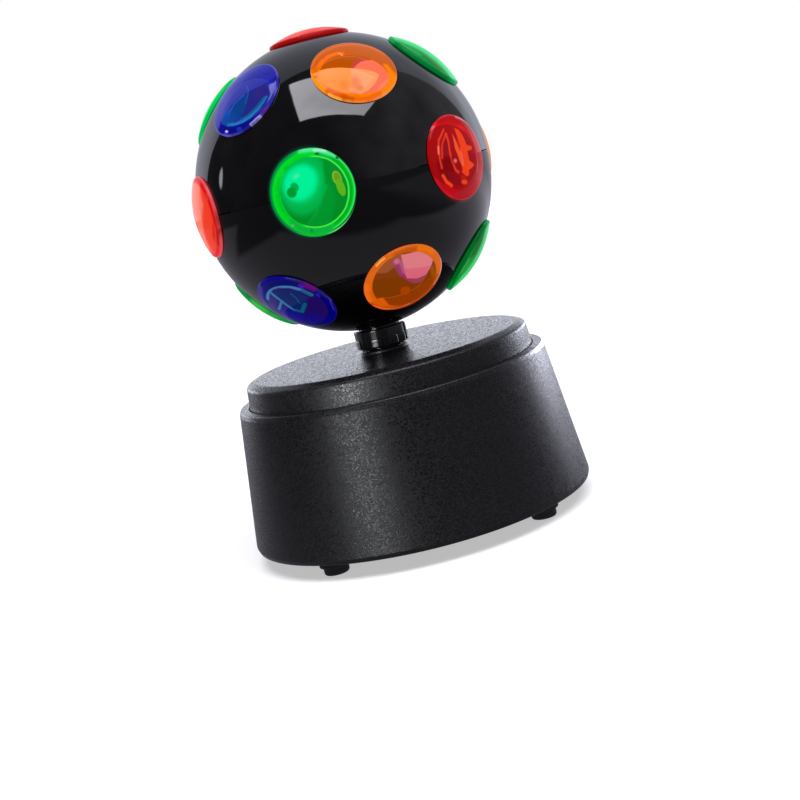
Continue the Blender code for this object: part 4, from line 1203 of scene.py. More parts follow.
def red_middle():
    p = Picture("lens_red_right", "red", MATRIX["lens_middle_2"], painted_rim_flecks=0.5)
    disc = p.oval((457.3, 156), (478, 163.8), (452, 124.6), 0.03)
    p.over(p.times(p.band(9.4, 13, 0.5), p.side((452, 200), (444, 110), 3.0)), (216, 12, 12), 0.8)
    p.over(p.times(p.band(9.4, 13, 0.5), p.side((444, 110), (452, 200), 3.0)), (172, 4, 16), 0.8)
    p.over(p.stroke([(464, 123), (475, 138), (479.6, 154), (478.4, 170), (472, 184)], 2.0, 0.9), (140, 10, 22), 0.85)
    p.over(p.stroke([(438, 121), (450, 118.6), (462, 122)], 1.5, 0.7), (164, 2, 18), 0.8)
    p.over(p.stroke([(436, 176), (444, 188), (456, 196)], 1.6, 0.8), (186, 6, 26), 0.8)
    p.over(p.stroke([(458, 196), (468, 192), (474, 184)], 1.6, 0.8), (162, 24, 36), 0.9)
    # painted pink-white highlight along the upper right edge
    p.over(p.stroke([(455.6, 117), (462, 119.4), (468.6, 124)], 0.6, 0.35), (206, 134, 152), 0.9)
    p.over(p.stroke([(471, 128), (476, 138), (479.6, 150), (480.4, 160)], 0.35, 0.25), (214, 74, 62), 0.7)
    p.over(p.stroke([(434, 126), (431, 135), (430, 139)], 0.55, 0.3), (238, 92, 104), 0.95)
    p.over(p.oval((430.8, 149.4), (433.2, 149.4), (430.8, 152.6), 0.35), (255, 14, 8))
    p.over(p.oval((432.8, 167.4), (435.6, 168.4), (432.4, 171), 0.35), (252, 8, 4))
    # painted pale glints at the left edge
    p.over(p.stroke([(429, 154), (430, 160)], 0.35, 0.2), (255, 146, 150), 0.95)
    p.over(p.stroke([(431, 168.6), (432.6, 172.2)], 0.4, 0.2), (255, 176, 140), 0.95)
    p.over(p.oval((435.3, 158.3), (436.4, 158.3), (435.3, 160.4), 0.4), (255, 90, 44))
    p.over(p.oval((434.8, 151.8), (436, 151.8), (434.8, 154.4), 0.4), (112, 0, 40), 0.9)
    p.over(p.oval((433, 161.6), (434.2, 161.6), (433, 163.8), 0.4), (120, 0, 30), 0.9)
    p.inside(disc)
    p.over(disc, (156, 8, 14))
    p.over(p.glow((444, 168), (452, 166), (446, 186), 0.4), (116, 2, 8), 0.9)
    p.over(p.stroke([(443.6, 129.6), (438.6, 140.5), (438.6, 150.6), (440, 160.2), (442, 168)], 0.5, 0.3), (240, 66, 44), 0.9)
    p.over(p.stroke([(438.2, 146.6), (438.6, 153.6)], 0.45, 0.25), (255, 134, 96), 0.9)
    p.over(p.stroke([(446, 133.8), (442.6, 143), (441.8, 150), (442.4, 158)], 0.5, 0.3), (232, 62, 36), 0.9)
    p.over(p.stroke([(446, 133.8), (448.4, 142), (449.6, 151), (452, 162.1), (455.7, 169.8), (458.6, 172)], 0.6, 0.3), (236, 66, 40), 0.95)
    p.over(p.shape([(445.6, 137.6), (447.6, 143), (449, 155), (445, 155), (443, 150), (443.4, 143)], 0.25), (128, 16, 26), 0.95)
    p.over(p.shape([(443.4, 156), (449.6, 156), (455, 172), (454, 184), (447, 178), (444, 166)], 0.4), (112, 2, 6), 0.95)
    p.over(p.shape([(446, 172), (454, 171), (460, 178), (462, 186), (452, 184)], 0.5), (128, 8, 18), 0.9)
    p.over(p.either(
        p.shape([(454.2, 128), (458.6, 130), (462.4, 135), (466.4, 144.4), (468.4, 151), (460.4, 151), (457.4, 141)], 0.16),
        p.shape([(460, 150), (468.4, 150), (469.2, 160.2), (470.4, 168.5), (468.8, 175), (467, 176.6), (462, 172.2)], 0.16),
    ), (240, 66, 20))
    p.over(p.shape([(451.8, 133.6), (454.6, 138), (460, 151), (463.4, 164), (462.4, 168), (459.4, 160), (455, 148)], 0.16), (242, 86, 44))
    p.over(p.stroke([(461, 152), (462.6, 159), (463.4, 165)], 0.5, 0.3), (240, 110, 100), 0.8)
    p.over(p.shape([(465.6, 144.4), (472, 146.6), (471.4, 149.8), (467.4, 151)], 0.14), (240, 66, 20))
    p.over(p.shape([(468.6, 160), (474.4, 164.6), (471.4, 168.4), (466, 171)], 0.14), (240, 72, 24))
    p.over(p.stroke([(454.4, 130.4), (457.6, 139), (460.2, 146.8)], 0.4, 0.2), (150, 8, 16), 0.9)
    p.over(p.oval((457.4, 163.2), (462.4, 167.4), (455.2, 156.4), 0.12), (148, 8, 12))
    p.over(p.glow((455.4, 160.8), (457.8, 161), (455.4, 164), 0.15), (240, 112, 120))
    p.over(p.shape([(463.6, 133.6), (466, 133), (470.8, 143.6), (468.6, 144.6)], 0.2), (140, 14, 28), 0.95)
    p.over(p.oval((472.2, 156), (475.2, 158), (471.6, 150.4), 0.14), (142, 10, 24), 0.95)
    p.over(p.stroke([(443, 175.6), (446.6, 182), (451.6, 185.8)], 0.8, 0.35), (255, 78, 28), 0.95)
    p.over(p.oval((464.6, 181.8), (467.4, 182), (464.6, 184.4), 0.25), (242, 66, 16))
    p.over(p.oval((463.6, 177.4), (466, 177.6), (463.6, 179.8), 0.3), (172, 30, 20), 0.9)
    p.over(p.stroke([(463.4, 127.7), (471, 137.9), (475.5, 149.4), (477.4, 160.8), (477, 172)], 0.4, 0.25), (214, 90, 108), 0.85)
    return p.done(0.9, ior=1.18)


def red_left():
    p = Picture("lens_red_left", "red", MATRIX["lens_middle_6"], painted_rim_flecks=0.5)
    p.over(p.band(0, 11.2, 0.5), (236, 62, 36))
    p.over(p.stroke([(193, 180), (195, 200), (199, 222), (206, 244)], 4.0, 1.6), (246, 124, 104), 0.95)
    p.inside(p.band(0, 10.8, 0.4))
    p.over(p.shape([(190, 178), (200, 178), (203, 205), (208, 246), (196, 246)], 1.2), (247, 126, 104), 0.95)
    p.over(p.stroke([(205, 183), (212, 200), (216, 222), (215, 240)], 1.6, 1.0), (214, 30, 14), 0.9)
    p.over(p.stroke([(205, 190), (210, 202), (213, 216)], 0.6, 0.4), (250, 104, 60), 0.9)
    p.over(p.stroke([(210, 206), (214, 222), (214, 236)], 0.7, 0.5), (180, 16, 12), 0.8)
    p.clip = None
    p.chamber(red_chamber, p.away())
    p.over(p.stroke([(207, 182), (214, 204), (218.6, 228), (218, 244)], 0.7, 0.5), (130, 22, 22), 0.9)
    return p.done(ior=1.2)



def red_top():
    p = Picture("lens_red_top", "red", MATRIX["lens_top"], painted_rim_flecks=0.6).edge_on()
    p.over(p.band(0, 13, 0.4), (216, 66, 54))
    p.over(p.shape([(-12, 3.0), (12, 3.0), (12, 9), (6, 13), (-6, 13), (-12, 9)], 1.8), (218, 40, 20), 0.95)
    p.over(p.glow((-2.0, 8.6), (2.6, 8.6), (-2.0, 5.0), 0.1), (242, 78, 36), 0.9)
    p.over(p.glow((4.0, 9.4), (8.0, 9.0), (4.0, 6.6), 0.1), (238, 66, 30), 0.8)
    p.over(p.stroke([(-8.6, 7.4), (-6.0, 9.2), (-3.6, 9.9)], 1.2, 0.6), (236, 70, 34), 0.9)
    # a painted pale glint
    p.over(p.stroke([(-4.6, 10.7), (-2.6, 11.0)], 0.5, 0.3), (255, 150, 120), 0.95)
    p.over(p.stroke([(-1.8, 7.3), (-0.2, 7.1)], 0.5, 0.4), (120, 12, 14), 0.75)
    p.over(p.stroke([(1.7, 6.9), (2.6, 6.8)], 0.5, 0.4), (120, 12, 14), 0.75)
    p.over(p.stroke([(3.4, 6.8), (6.0, 6.2), (8.2, 5.0)], 0.7, 0.5), (128, 20, 12), 0.85)
    p.over(p.stroke([(-10.9, 3.4), (-11.2, 1.6)], 0.9, 0.5), (126, 0, 16), 0.9)
    # a painted pale glint at the left end
    p.over(p.oval((-10.2, 4.4), (-9.7, 4.6), (-10.2, 5.2), 0.4), (255, 170, 150), 0.9)
    p.over(p.stroke([(10.6, 4.6), (11.6, 1.6)], 0.6, 0.5), (150, 20, 34), 0.8)
    p.over(p.band(11.4, 13.0, 0.3), (132, 0, 6), 0.85)
    p.over(p.band(9.9, 10.5, 0.15), (250, 96, 70), 0.25)
    p.chamber(red_chamber, p.away())
    return p.done(ior=1.13)


def blue_upper():
    p = Picture("lens_blue_left", "blue", MATRIX["lens_upper_6"], painted_rim_flecks=0.6)
    disc = p.net.steps(p.level((220.6, 122.6), (270.6, 83.6), (236.4, 87.6), (255.6, 116.4)), 1.03, 0.97)
    p.over(p.stroke([(222, 128), (232, 132), (246, 128), (258, 119)], 1.6, 0.7), (4, 4, 106), 0.9)
    p.over(p.stroke([(268, 112), (274, 102), (277.4, 92)], 0.3, 0.2), (106, 66, 196), 0.85)
    p.over(p.stroke([(262.6, 113), (268, 106.6), (273, 98.4)], 1.2, 0.6), (84, 4, 88), 0.95)
    # painted highlights: a pale streak and a pale spot
    p.over(p.stroke([(249.6, 124.2), (254, 120.2), (259.4, 115)], 0.15, 0.22), (196, 188, 250), 0.9)
    p.over(p.oval((226.6, 131.6), (228, 131.6), (226.6, 132.8), 0.45), (196, 188, 255))
    p.over(p.glow((239, 129), (243, 128), (240, 132), 0.2), (10, 60, 180), 0.8)
    p.over(p.stroke([(270, 70), (276, 78), (277, 84)], 1.4, 0.7), (20, 18, 132), 0.9)
    p.inside(disc)
    p.over(disc, (36, 42, 150))
    p.over(p.shape([(233, 106), (246, 94), (266, 84), (270, 92), (264, 106), (246, 118), (238, 116)], 0.6), (34, 34, 112), 0.95)
    p.over(p.shape([(233.5, 106), (247.4, 93), (247.6, 98), (244, 112), (238, 118), (230, 118)], 0.5), (0, 62, 124), 0.95)
    p.over(p.shape([(220.6, 124), (226, 112), (234, 104), (229.6, 113), (228, 126), (224, 130)], 0.4), (0, 78, 166), 0.95)
    p.over(p.stroke([(227.4, 126), (229.4, 113), (234, 104.4), (244, 95)], 0.35, 0.25), (36, 110, 190), 0.8)
    p.over(p.stroke([(246.8, 85.6), (248.4, 90), (248, 95), (245.4, 104)], 0.3, 0.2), (26, 98, 150), 0.85)
    p.over(p.stroke([(228, 125.2), (235, 125), (243, 121.6), (251, 115.8), (258, 108.8), (263, 102.4), (266.6, 96.4)], 1.25, 0.35, 0.4), (26, 128, 178), 0.95)
    p.over(p.stroke([(240, 120.6), (248, 115.4), (256, 107.8), (264.6, 97)], 0.5, 0.4), (0, 104, 132), 0.8)
    p.over(p.glow((230, 119), (240, 112), (234, 124), 0.3), (0, 70, 140), 0.8)
    p.over(p.glow((259, 92), (266, 86), (262, 100), 0.3), (48, 36, 108), 0.7)
    return p.done(ior=1.28)


def blue_lower():
    p = Picture("lens_blue_low", "blue", MATRIX["lens_lower_6"], painted_rim_flecks=0.5)
    disc = p.net.steps(p.level((266.2, 298), (328.2, 313.4), (297, 285.8), (297, 321.4)), 1.02, 0.98)
    p.over(p.band(0, 13, 0.3), (0, 0, 74), 0.85)
    p.over(p.stroke([(327, 300), (332, 308), (333.6, 316), (329, 323)], 1.8, 0.8), (0, 0, 116), 0.95)
    p.over(p.stroke([(262, 283), (272, 278), (288, 277.6)], 1.6, 0.8), (8, 0, 120), 0.9)
    p.over(p.stroke([(260, 287), (261, 297), (268, 307)], 1.4, 0.8), (58, 46, 148), 0.9)
    p.over(p.stroke([(280, 317), (296, 323.6), (314, 326)], 0.8, 0.5), (38, 34, 136), 0.9)
    p.over(p.stroke([(300, 285.6), (306, 286.4), (314, 289.8)], 0.9, 0.5), (110, 0, 108), 0.85)
    p.over(p.glow((301.4, 287.4), (305, 288), (301.4, 290), 0.2), (26, 26, 200), 0.9)
    p.over(p.glow((317.9, 296), (321, 297), (318, 299.6), 0.2), (26, 28, 196), 0.9)
    p.over(p.stroke([(322, 292), (330, 301), (334, 310)], 0.15, 0.12), (90, 66, 160), 0.6)
    p.inside(disc)
    p.over(disc, (28, 8, 84))
    p.over(p.shape([(272, 288), (296, 290), (308, 298), (304, 309), (296, 309), (276, 294)], 0.5), (8, 32, 92), 0.95)
    p.over(p.oval((272.8, 303), (277, 305), (272, 309), 0.4), (50, 30, 108), 0.9)
    p.over(p.shape([(278, 309), (290, 306), (304, 314), (312, 322), (286, 318)], 0.6), (16, 12, 122), 0.9)
    p.over(p.shape([(302, 318), (309, 312), (326, 316), (318, 326)], 0.6), (20, 8, 118), 0.9)
    p.over(p.stroke([(267.4, 299), (268.2, 291.6), (272.4, 287.6), (278, 286.2), (289.3, 286.4), (301.4, 289.8), (311.4, 294.8)], 1.15, 0.3, 0.9), (62, 118, 176), 0.95)
    p.over(p.stroke([(302, 290.4), (311, 295)], 1.0, 0.3), (4, 84, 116), 0.9)
    p.over(p.stroke([(271, 293), (282, 301.4), (294.3, 310.1)], 1.15, 0.3, 0.9), (34, 116, 158), 0.95)
    p.over(p.stroke([(281.4, 302.3), (278.9, 309.4)], 0.8, 0.25), (48, 110, 168), 0.95)
    p.over(p.stroke([(294.3, 309.8), (302.1, 311.8), (304.8, 304)], 1.1, 0.35), (2, 88, 112), 0.95)
    p.over(p.stroke([(290.7, 293.7), (296, 298), (300, 303.4)], 0.28, 0.2), (30, 84, 132), 0.85)
    return p.done(ior=1.22)


def green_edge():
    p = Picture("lens_green_right_top", "green", MATRIX["lens_upper_2"], painted_rim_flecks=0.3).edge_on()
    p.over(p.band(0, 13, 0.4), (0, 196, 100), 0.95)
    p.over(p.stroke([(-2, 0.6), (5, 1.6), (10.4, 4.4)], 2.4, 1.6), (50, 214, 148), 0.9)
    p.over(p.stroke([(-10, 4.4), (-4, 5.0), (2, 5.4), (8, 5.6)], 1.0, 0.9), (0, 208, 92), 0.8)
    p.over(p.shape([(-9.6, 6.8), (9.8, 6.8), (9.0, 10), (5, 13), (-5, 13), (-10.6, 8.0)], 0.7), (0, 124, 44), 0.95)
    p.over(p.shape([(-1.4, 8.2), (6.6, 8.0), (5.6, 10.8), (-2.0, 11.6)], 0.9), (0, 100, 30), 0.9)
    p.over(p.stroke([(-9.6, 5.6), (-7.6, 7.4)], 1.2, 0.8), (20, 146, 36), 0.85)
    p.over(p.stroke([(-0.6, 7.4), (2.6, 7.8), (5.4, 7.8)], 0.6, 0.6), (56, 148, 28), 0.85)
    p.over(p.stroke([(-8.0, 8.4), (-4.6, 9.6), (-1.2, 10.0)], 0.25, 0.2), (44, 196, 110), 0.9)
    p.over(p.stroke([(-7.2, 9.4), (-3.4, 10.6), (0.8, 10.9)], 0.25, 0.2), (22, 164, 78), 0.9)
    p.over(p.stroke([(-6.2, 7.8), (-3.0, 8.6)], 0.25, 0.2), (18, 160, 74), 0.9)
    p.over(p.stroke([(-12, 0.4), (-11.4, 3.6), (-9.8, 6.6)], 0.6, 0.4), (40, 190, 128), 0.8)
    p.over(p.stroke([(11.9, 0), (11.4, 3.6), (10.2, 6.4)], 0.6, 0.4), (56, 206, 146), 0.8)
    p.over(p.band(11.7, 13.0, 0.25), (0, 84, 40), 0.6)
    p.chamber(green_chamber, p.away())
    return p.done(ior=1.12)



def green_right():
    p = Picture("lens_green_right_low", "green", MATRIX["lens_lower_2"], painted_rim_flecks=0.3).edge_on()
    p.over(p.band(0, 13, 0.4), (0, 184, 88), 0.95)
    p.over(p.stroke([(-9, 1.0), (0, 0.0), (9, 1.0)], 2.0, 1.4), (0, 202, 122), 0.9)
    p.over(p.stroke([(-2, 5.4), (3, 5.8), (8, 5.6)], 1.2, 0.9), (0, 200, 76), 0.85)
    p.over(p.shape([(-10.2, 6.6), (9.8, 7.0), (9.2, 9.8), (5, 13), (-5, 13), (-10.6, 8.4)], 0.7), (0, 126, 34), 0.95)
    p.over(p.shape([(-9.4, 7.4), (-1.0, 7.2), (0.4, 10.8), (-6.0, 11.2)], 0.8), (0, 92, 28), 0.9)
    p.over(p.stroke([(-3.4, 7.0), (0, 7.2), (3.6, 7.6)], 0.6, 0.6), (30, 156, 48), 0.8)
    p.over(p.stroke([(0.8, 10.7), (4.6, 10.2), (8.4, 8.8)], 0.3, 0.2), (64, 190, 84), 0.9)
    p.over(p.stroke([(1.6, 9.3), (5.4, 8.8), (7.6, 8.0)], 0.25, 0.2), (34, 164, 86), 0.9)
    p.over(p.stroke([(8.6, 7.4), (10.6, 5.2)], 1.6, 0.8), (0, 148, 38), 0.85)
    p.over(p.stroke([(-11.8, 1.0), (-11.0, 4.6)], 0.7, 0.4), (90, 198, 150), 0.85)
    p.over(p.band(11.6, 13.0, 0.25), (0, 60, 22), 0.6)
    p.chamber(green_chamber, p.away())
    return p.done(ior=1.12)


def green_left():
    p = Picture("lens_green_left_top", "green", MATRIX["lens_upper_5"], painted_rim_flecks=0.35)
    p.over(p.band(0, 13, 0.4), (0, 196, 84), 0.9)
    p.over(p.band(9.9, 10.5, 0.15), (60, 244, 120), 0.6)
    p.chamber(green_chamber, p.away())
    p.over(p.stroke([(233, 78.6), (226, 86), (219.6, 94), (214.6, 101.6), (210.6, 109.6), (206, 124)], 1.6, 1.0), (0, 226, 104), 0.95)
    return p.done(ior=1.12)


def green_low_left():
    p = Picture("lens_green_left_low", "green", MATRIX["lens_lower_5"], painted_rim_flecks=0.35)
    p.over(p.band(0, 13, 0.4), (14, 140, 54), 0.9)
    p.over(p.band(9.9, 10.5, 0.15), (70, 220, 90), 0.6)
    p.chamber(green_chamber, p.away())
    p.over(p.stroke([(242, 292), (251, 301.6), (260, 308.2), (270, 314), (284, 321)], 1.4, 0.8), (84, 220, 92), 0.9)
    p.over(p.stroke([(241, 298), (251, 308), (262, 315.6), (276, 322.6)], 0.8, 0.6), (0, 84, 24), 0.9)
    return p.done(ior=1.2)



PICTURE = {
    "lens_middle_1": green_middle(),
    "lens_upper_1": orange_upper(),
    "lens_lower_1": orange_lower(),
    "lens_middle_2": red_middle(),
    "lens_middle_6": red_left(),
    "lens_top": red_top(),
    "lens_upper_6": blue_upper(),
    "lens_lower_6": blue_lower(),
    "lens_upper_2": green_edge(),
    "lens_lower_2": green_right(),
    "lens_upper_5": green_left(),
    "lens_lower_5": green_low_left(),
}
PLAIN = {
    "green": plain_green(),
    "red": plain_red(),
    "blue": plain_blue(),
    "orange": plain_orange(),
}

lens_body = lens_mesh("lens_turned")
spin = random.Random(7)
for name, lat, az, colour in LENSES:
    matrix = MATRIX[name]
    if name not in PICTURE:
        matrix = matrix @ Matrix.Rotation(spin.uniform(0, 2 * math.pi), 4, "Z")
    piece(
        name + "_dome",
        lens_body.copy(),
        "ball",
        [name],
        [PICTURE.get(name, PLAIN[colour])],
        matrix,
        even=False,
    )


# ------------------------------------------------------------------ hub and collar

HUB_LINE = rounded(
    [
        (3.45, 48.4),
        (4.9, 48.4),
        (4.9, 58.9),
        (6.2, 58.9),
        (6.2, 68.0),
        (11.0, 69.2),
        (11.0, 70.7),
        (10.4, 71.2),
        (3.45, 71.2),
    ],
    0.2,
)
piece(
    "ball_hub_skin",
    shaded(turned_mesh("ball_hub_skin", HUB_LINE, 96, True)),
    "ball",
    ["ball_hub"],
    [NECK_SKIN],
)


def collar_mesh():
    """The clamping ring: a plain band with six wide low tabs and six narrow full-height ribs,
    read off as a radius for each angle and height."""
    heights = [59.4, 59.5, 59.6, 59.66, 59.8, 60.2, 61.0, 61.8, 62.2, 62.34, 62.42, 62.5, 63.2, 64.2, 64.8, 64.96, 65.06, 65.14, 65.24, 65.35]

    def bank(value, low, high, soft):
        a = min(max((value - low) / soft + 0.5, 0.0), 1.0)
        b = min(max((high - value) / soft + 0.5, 0.0), 1.0)
        return min(a, b) ** 0.7 if min(a, b) < 1 else 1.0

    marks = set()
    for i in range(6):
        for centre, width in ((60 * i + 12, 3.4), (60 * i + 42, 1.4)):
            half = math.degrees(width / 2 / 8.2)
            for edge in (-half, half):
                for k in (-0.9, -0.45, 0.0, 0.45, 0.9):
                    marks.add(round((centre + edge + k) % 360, 3))
    for k in range(120):
        angle = k * 3.0
        if all(abs(((angle - m + 180) % 360) - 180) > 1.1 for m in marks):
            marks.add(angle)
    angles = sorted(marks)

    def outer(angle, z):
        low_in = min(max((z - 59.4) / 0.3, 0.0), 1.0)
        top_in = min(max((65.35 - z) / 0.35, 0.0), 1.0)
        r = 8.05 - 0.25 * (1 - low_in) ** 2 - 0.35 * (1 - top_in) ** 2
        for i in range(6):
            for centre, width, top, reach in (
                (60 * i + 12, 3.4, 62.4, 8.45),
                (60 * i + 42, 1.4, 65.1, 8.4),
            ):
                off = ((angle - centre + 180) % 360) - 180
                half = math.degrees(width / 2 / 8.2)
                share = bank(off, -half, half, 1.6) * bank(z, 59.62, top, 0.16)
                r = max(r, 8.05 + (reach - 8.05) * share) if share > 0 else r
        return r

    work = bmesh.new()
    rows = []
    for z in heights:
        rows.append(
            [
                work.verts.new(
                    (
                        outer(a, z) * math.cos(math.radians(a)) * MM,
                        outer(a, z) * math.sin(math.radians(a)) * MM,
                        z * MM,
                    )
                )
                for a in angles
            ]
        )
    for z in (65.35, 59.4):
        rows.append(
            [
                work.verts.new(
                    (6.55 * math.cos(math.radians(a)) * MM, 6.55 * math.sin(math.radians(a)) * MM, z * MM)
                )
                for a in angles
            ]
        )
    for a, b in zip(rows, rows[1:] + rows[:1]):
        for i in range(len(angles)):
            j = (i + 1) % len(angles)
            work.faces.new((a[i], a[j], b[j], b[i]))
    bmesh.ops.recalc_face_normals(work, faces=work.faces)
    mesh = bpy.data.meshes.new("collar_ring_skin")
    work.to_mesh(mesh)
    work.free()
    return shaded(mesh, 40)


piece("collar_ring_skin", collar_mesh(), "ball", ["collar_ring"], [NECK_SKIN])


# ------------------------------------------------------------------ base

CAP_LINE = rounded(
    [
        (6.9, 55.7),
        (6.9, 58.7),
        (7.5, 58.7, 0.25),
        (7.8, 58.4, 0.2),
        (7.8, 57.7, 0.35),
        (42.6, 57.7, 3.2),
        (45.35, 56.6, 2.2),
        (45.5, 55.0, 1.0),
        (46.0, 49.9, 0.0),
        (46.0, 47.3),
        (44.0, 47.3),
        (43.5, 54.6),
        (42.4, 55.7),
        (6.9, 55.7),
    ],
    0.12,
    5,
)[:-1]
piece(
    "base_cap_skin",
    shaded(turned_mesh("base_cap_skin", CAP_LINE, 224, True)),
    "base",
    ["base_cap"],
    [BASE_SKIN],
)

HOUSING_LINE = rounded(
    [
        (46.35, 45.2),
        (46.35, 49.9, 0.12),
        (49.15, 49.9, 0.7),
        (49.62, 48.3, 1.2),
        (54.86, 6.4, 0.9),
        (54.35, 5.0, 0.5),
        (53.0, 5.0, 0.2),
        (52.4, 8.5),
        (48.3, 42.0),
        (38.5, 42.0),
        (38.5, 44.7),
        (46.3, 44.7),
        (46.35, 45.2),
    ],
    0.1,
    6,
)[:-1]
housing = turned_mesh("base_housing_skin", HOUSING_LINE, 240, True)
slot_cut = rounded_box_mesh((-4.4, 4.4), (44.0, 60.0), (17.8, 22.2), 0.01, 1)
housing = combined(housing, [box_mesh((-4.4, 4.4), (44.0, 60.0), (17.8, 22.2), 0.35, 3)])
housing.name = "base_housing_skin"
piece(
    "base_housing_skin",
    shaded(housing),
    "base",
    ["base_housing"],
    [BASE_SKIN],
)

# Bottom plate with the battery bay, its counterbored screws and the thumb notch of the door.
plate = turned_mesh(
    "plate",
    rounded([(0, 5.6), (52.1, 5.6, 0.4), (52.1, 8.0), (0, 8.0)], 0.1),
    192,
    False,
)
plate = combined(
    plate, [box_mesh((-26.4, 26.4), (-34.2, 34.2), (6.0, 25.6), 0.0)], "UNION"
)
plate = combined(
    plate,
    [
        box_mesh((-24.0, 24.0), (-31.8, 31.8), (7.0, 24.0)),
        rounded_box_mesh((-25.2, 25.2), (-33.0, 33.0), (4.0, 7.7), 1.2, 6),
        merged([box_mesh((s * 12 - 3.5, s * 12 + 3.5), (-34.5, -31.5), (6.2, 9.1)) for s in (1, -1)]),
        merged(
            [rod_mesh(2.5, (4.0, 9.0), 32, None, (*polar(46.0, a), 0)) for a in (45, 135, 225, 315)]
            + [rod_mesh(1.8, (4.0, 9.0), 32, None, (*polar(46.5, a), 0)) for a in (0, 120, 240)]
        ),
        merged(
            [rod_mesh(3.4, (4.0, 6.9), 48, None, (*polar(46.5, a), 0)) for a in (0, 120, 240)]
            + [rod_mesh(6.0, (4.0, 6.5), 64, None, (0, 38.5, 0))]
        ),
    ],
)
plate.name = "bottom_plate_skin"
piece(
    "bottom_plate_skin", shaded(plate), "base", ["bottom_plate"], [PLATE_SKIN]
)

# Battery door: a slab with softened edges, three finger ribs and two hooks at the far end.
door = rounded_box_mesh((-24.85, 24.85), (-32.55, 32.65), (5.65, 7.2), 1.0, 6, 0.22)
ribs = merged(
    [box_mesh((-6.0 + 0.8 * k, 6.0 - 0.8 * k), (24.6 + 1.9 * k, 25.6 + 1.9 * k), (5.3, 6.2), 0.28, 3) for k in range(3)]
)
hooks = merged(
    [box_mesh((s * 12 - 3.0, s * 12 + 3.0), (-34.0, -31.0), (6.5, 7.1), 0.1, 2) for s in (1, -1)]
)
door = combined(door, [ribs, hooks], "UNION")
door.name = "battery_door_skin"
piece("battery_door_skin", shaded(door), "door", ["battery_door"], [DOOR_SKIN])

FOOT_LINE = rounded(
    [
        (0, 0),
        (3.6, 0.0, 0.5),
        (3.9, 0.6, 0.3),
        (3.9, 2.35, 0.2),
        (4.9, 2.6, 0.45),
        (4.9, 5.2, 0.2),
        (2.1, 5.3),
        (2.1, 8.3),
        (2.9, 8.3, 0.2),
        (1.8, 10.0),
        (0, 10.0),
    ],
    0.1,
)
for number, angle in enumerate((45, 135, 225, 315)):
    fx, fy = polar(46.0, angle)
    mesh = turned_mesh(f"foot_{number + 1}_skin", FOOT_LINE, 56, False)
    mesh.transform(Matrix.Translation(Vector((fx, fy, 0)) * MM))
    piece(
        f"foot_{number + 1}_skin",
        shaded(mesh),
        "base",
        [f"foot_{number + 1}"],
        [RUBBER],
    )

SCREW_LINE = rounded(
    [
        (0, 5.7),
        (2.45, 5.72, 0.3),
        (3.0, 6.3, 0.2),
        (3.0, 6.55),
        (1.3, 6.55),
        (1.3, 16.2),
        (0, 17.5),
    ],
    0.06,
)
for number, angle in enumerate((0, 120, 240)):
    sx, sy = polar(46.5, angle)
    mesh = turned_mesh("screw", SCREW_LINE, 48, False)
    cross = combined(
        box_mesh((-1.55, 1.55), (-0.32, 0.32), (5.0, 6.25), 0.08, 1),
        [box_mesh((-0.32, 0.32), (-1.55, 1.55), (5.0, 6.251), 0.08, 1)],
        "UNION",
    )
    mesh = combined(mesh, [cross])
    mesh.transform(
        Matrix.Translation(Vector((sx, sy, 0)) * MM) @ Matrix.Rotation(math.radians(25 + 37 * number), 4, "Z")
    )
    mesh.name = f"bottom_screw_{number + 1}_skin"
    piece(
        f"bottom_screw_{number + 1}_skin",
        shaded(mesh),
        "base",
        [f"bottom_screw_{number + 1}"],
        [SCREW_STEEL],
    )

# Switch knob with softened edges and two finger grooves.
knob = box_mesh((-3.9, -0.1), (45.7, 54.7), (18.5, 21.5), 0.32, 4)
knob = combined(
    knob,
    [
        merged(
            [
                box_mesh((-3.35, -2.65), (54.25, 55.2), (17.8, 22.2), 0.12, 2),
                box_mesh((-1.35, -0.65), (54.25, 55.2), (17.8, 22.2), 0.12, 2),
            ]
        )
    ],
)
knob.name = "switch_knob_skin"
piece("switch_knob_skin", shaded(knob), "knob", ["switch_knob"], [KNOB_SKIN])


# ------------------------------------------------------------------ floor and light


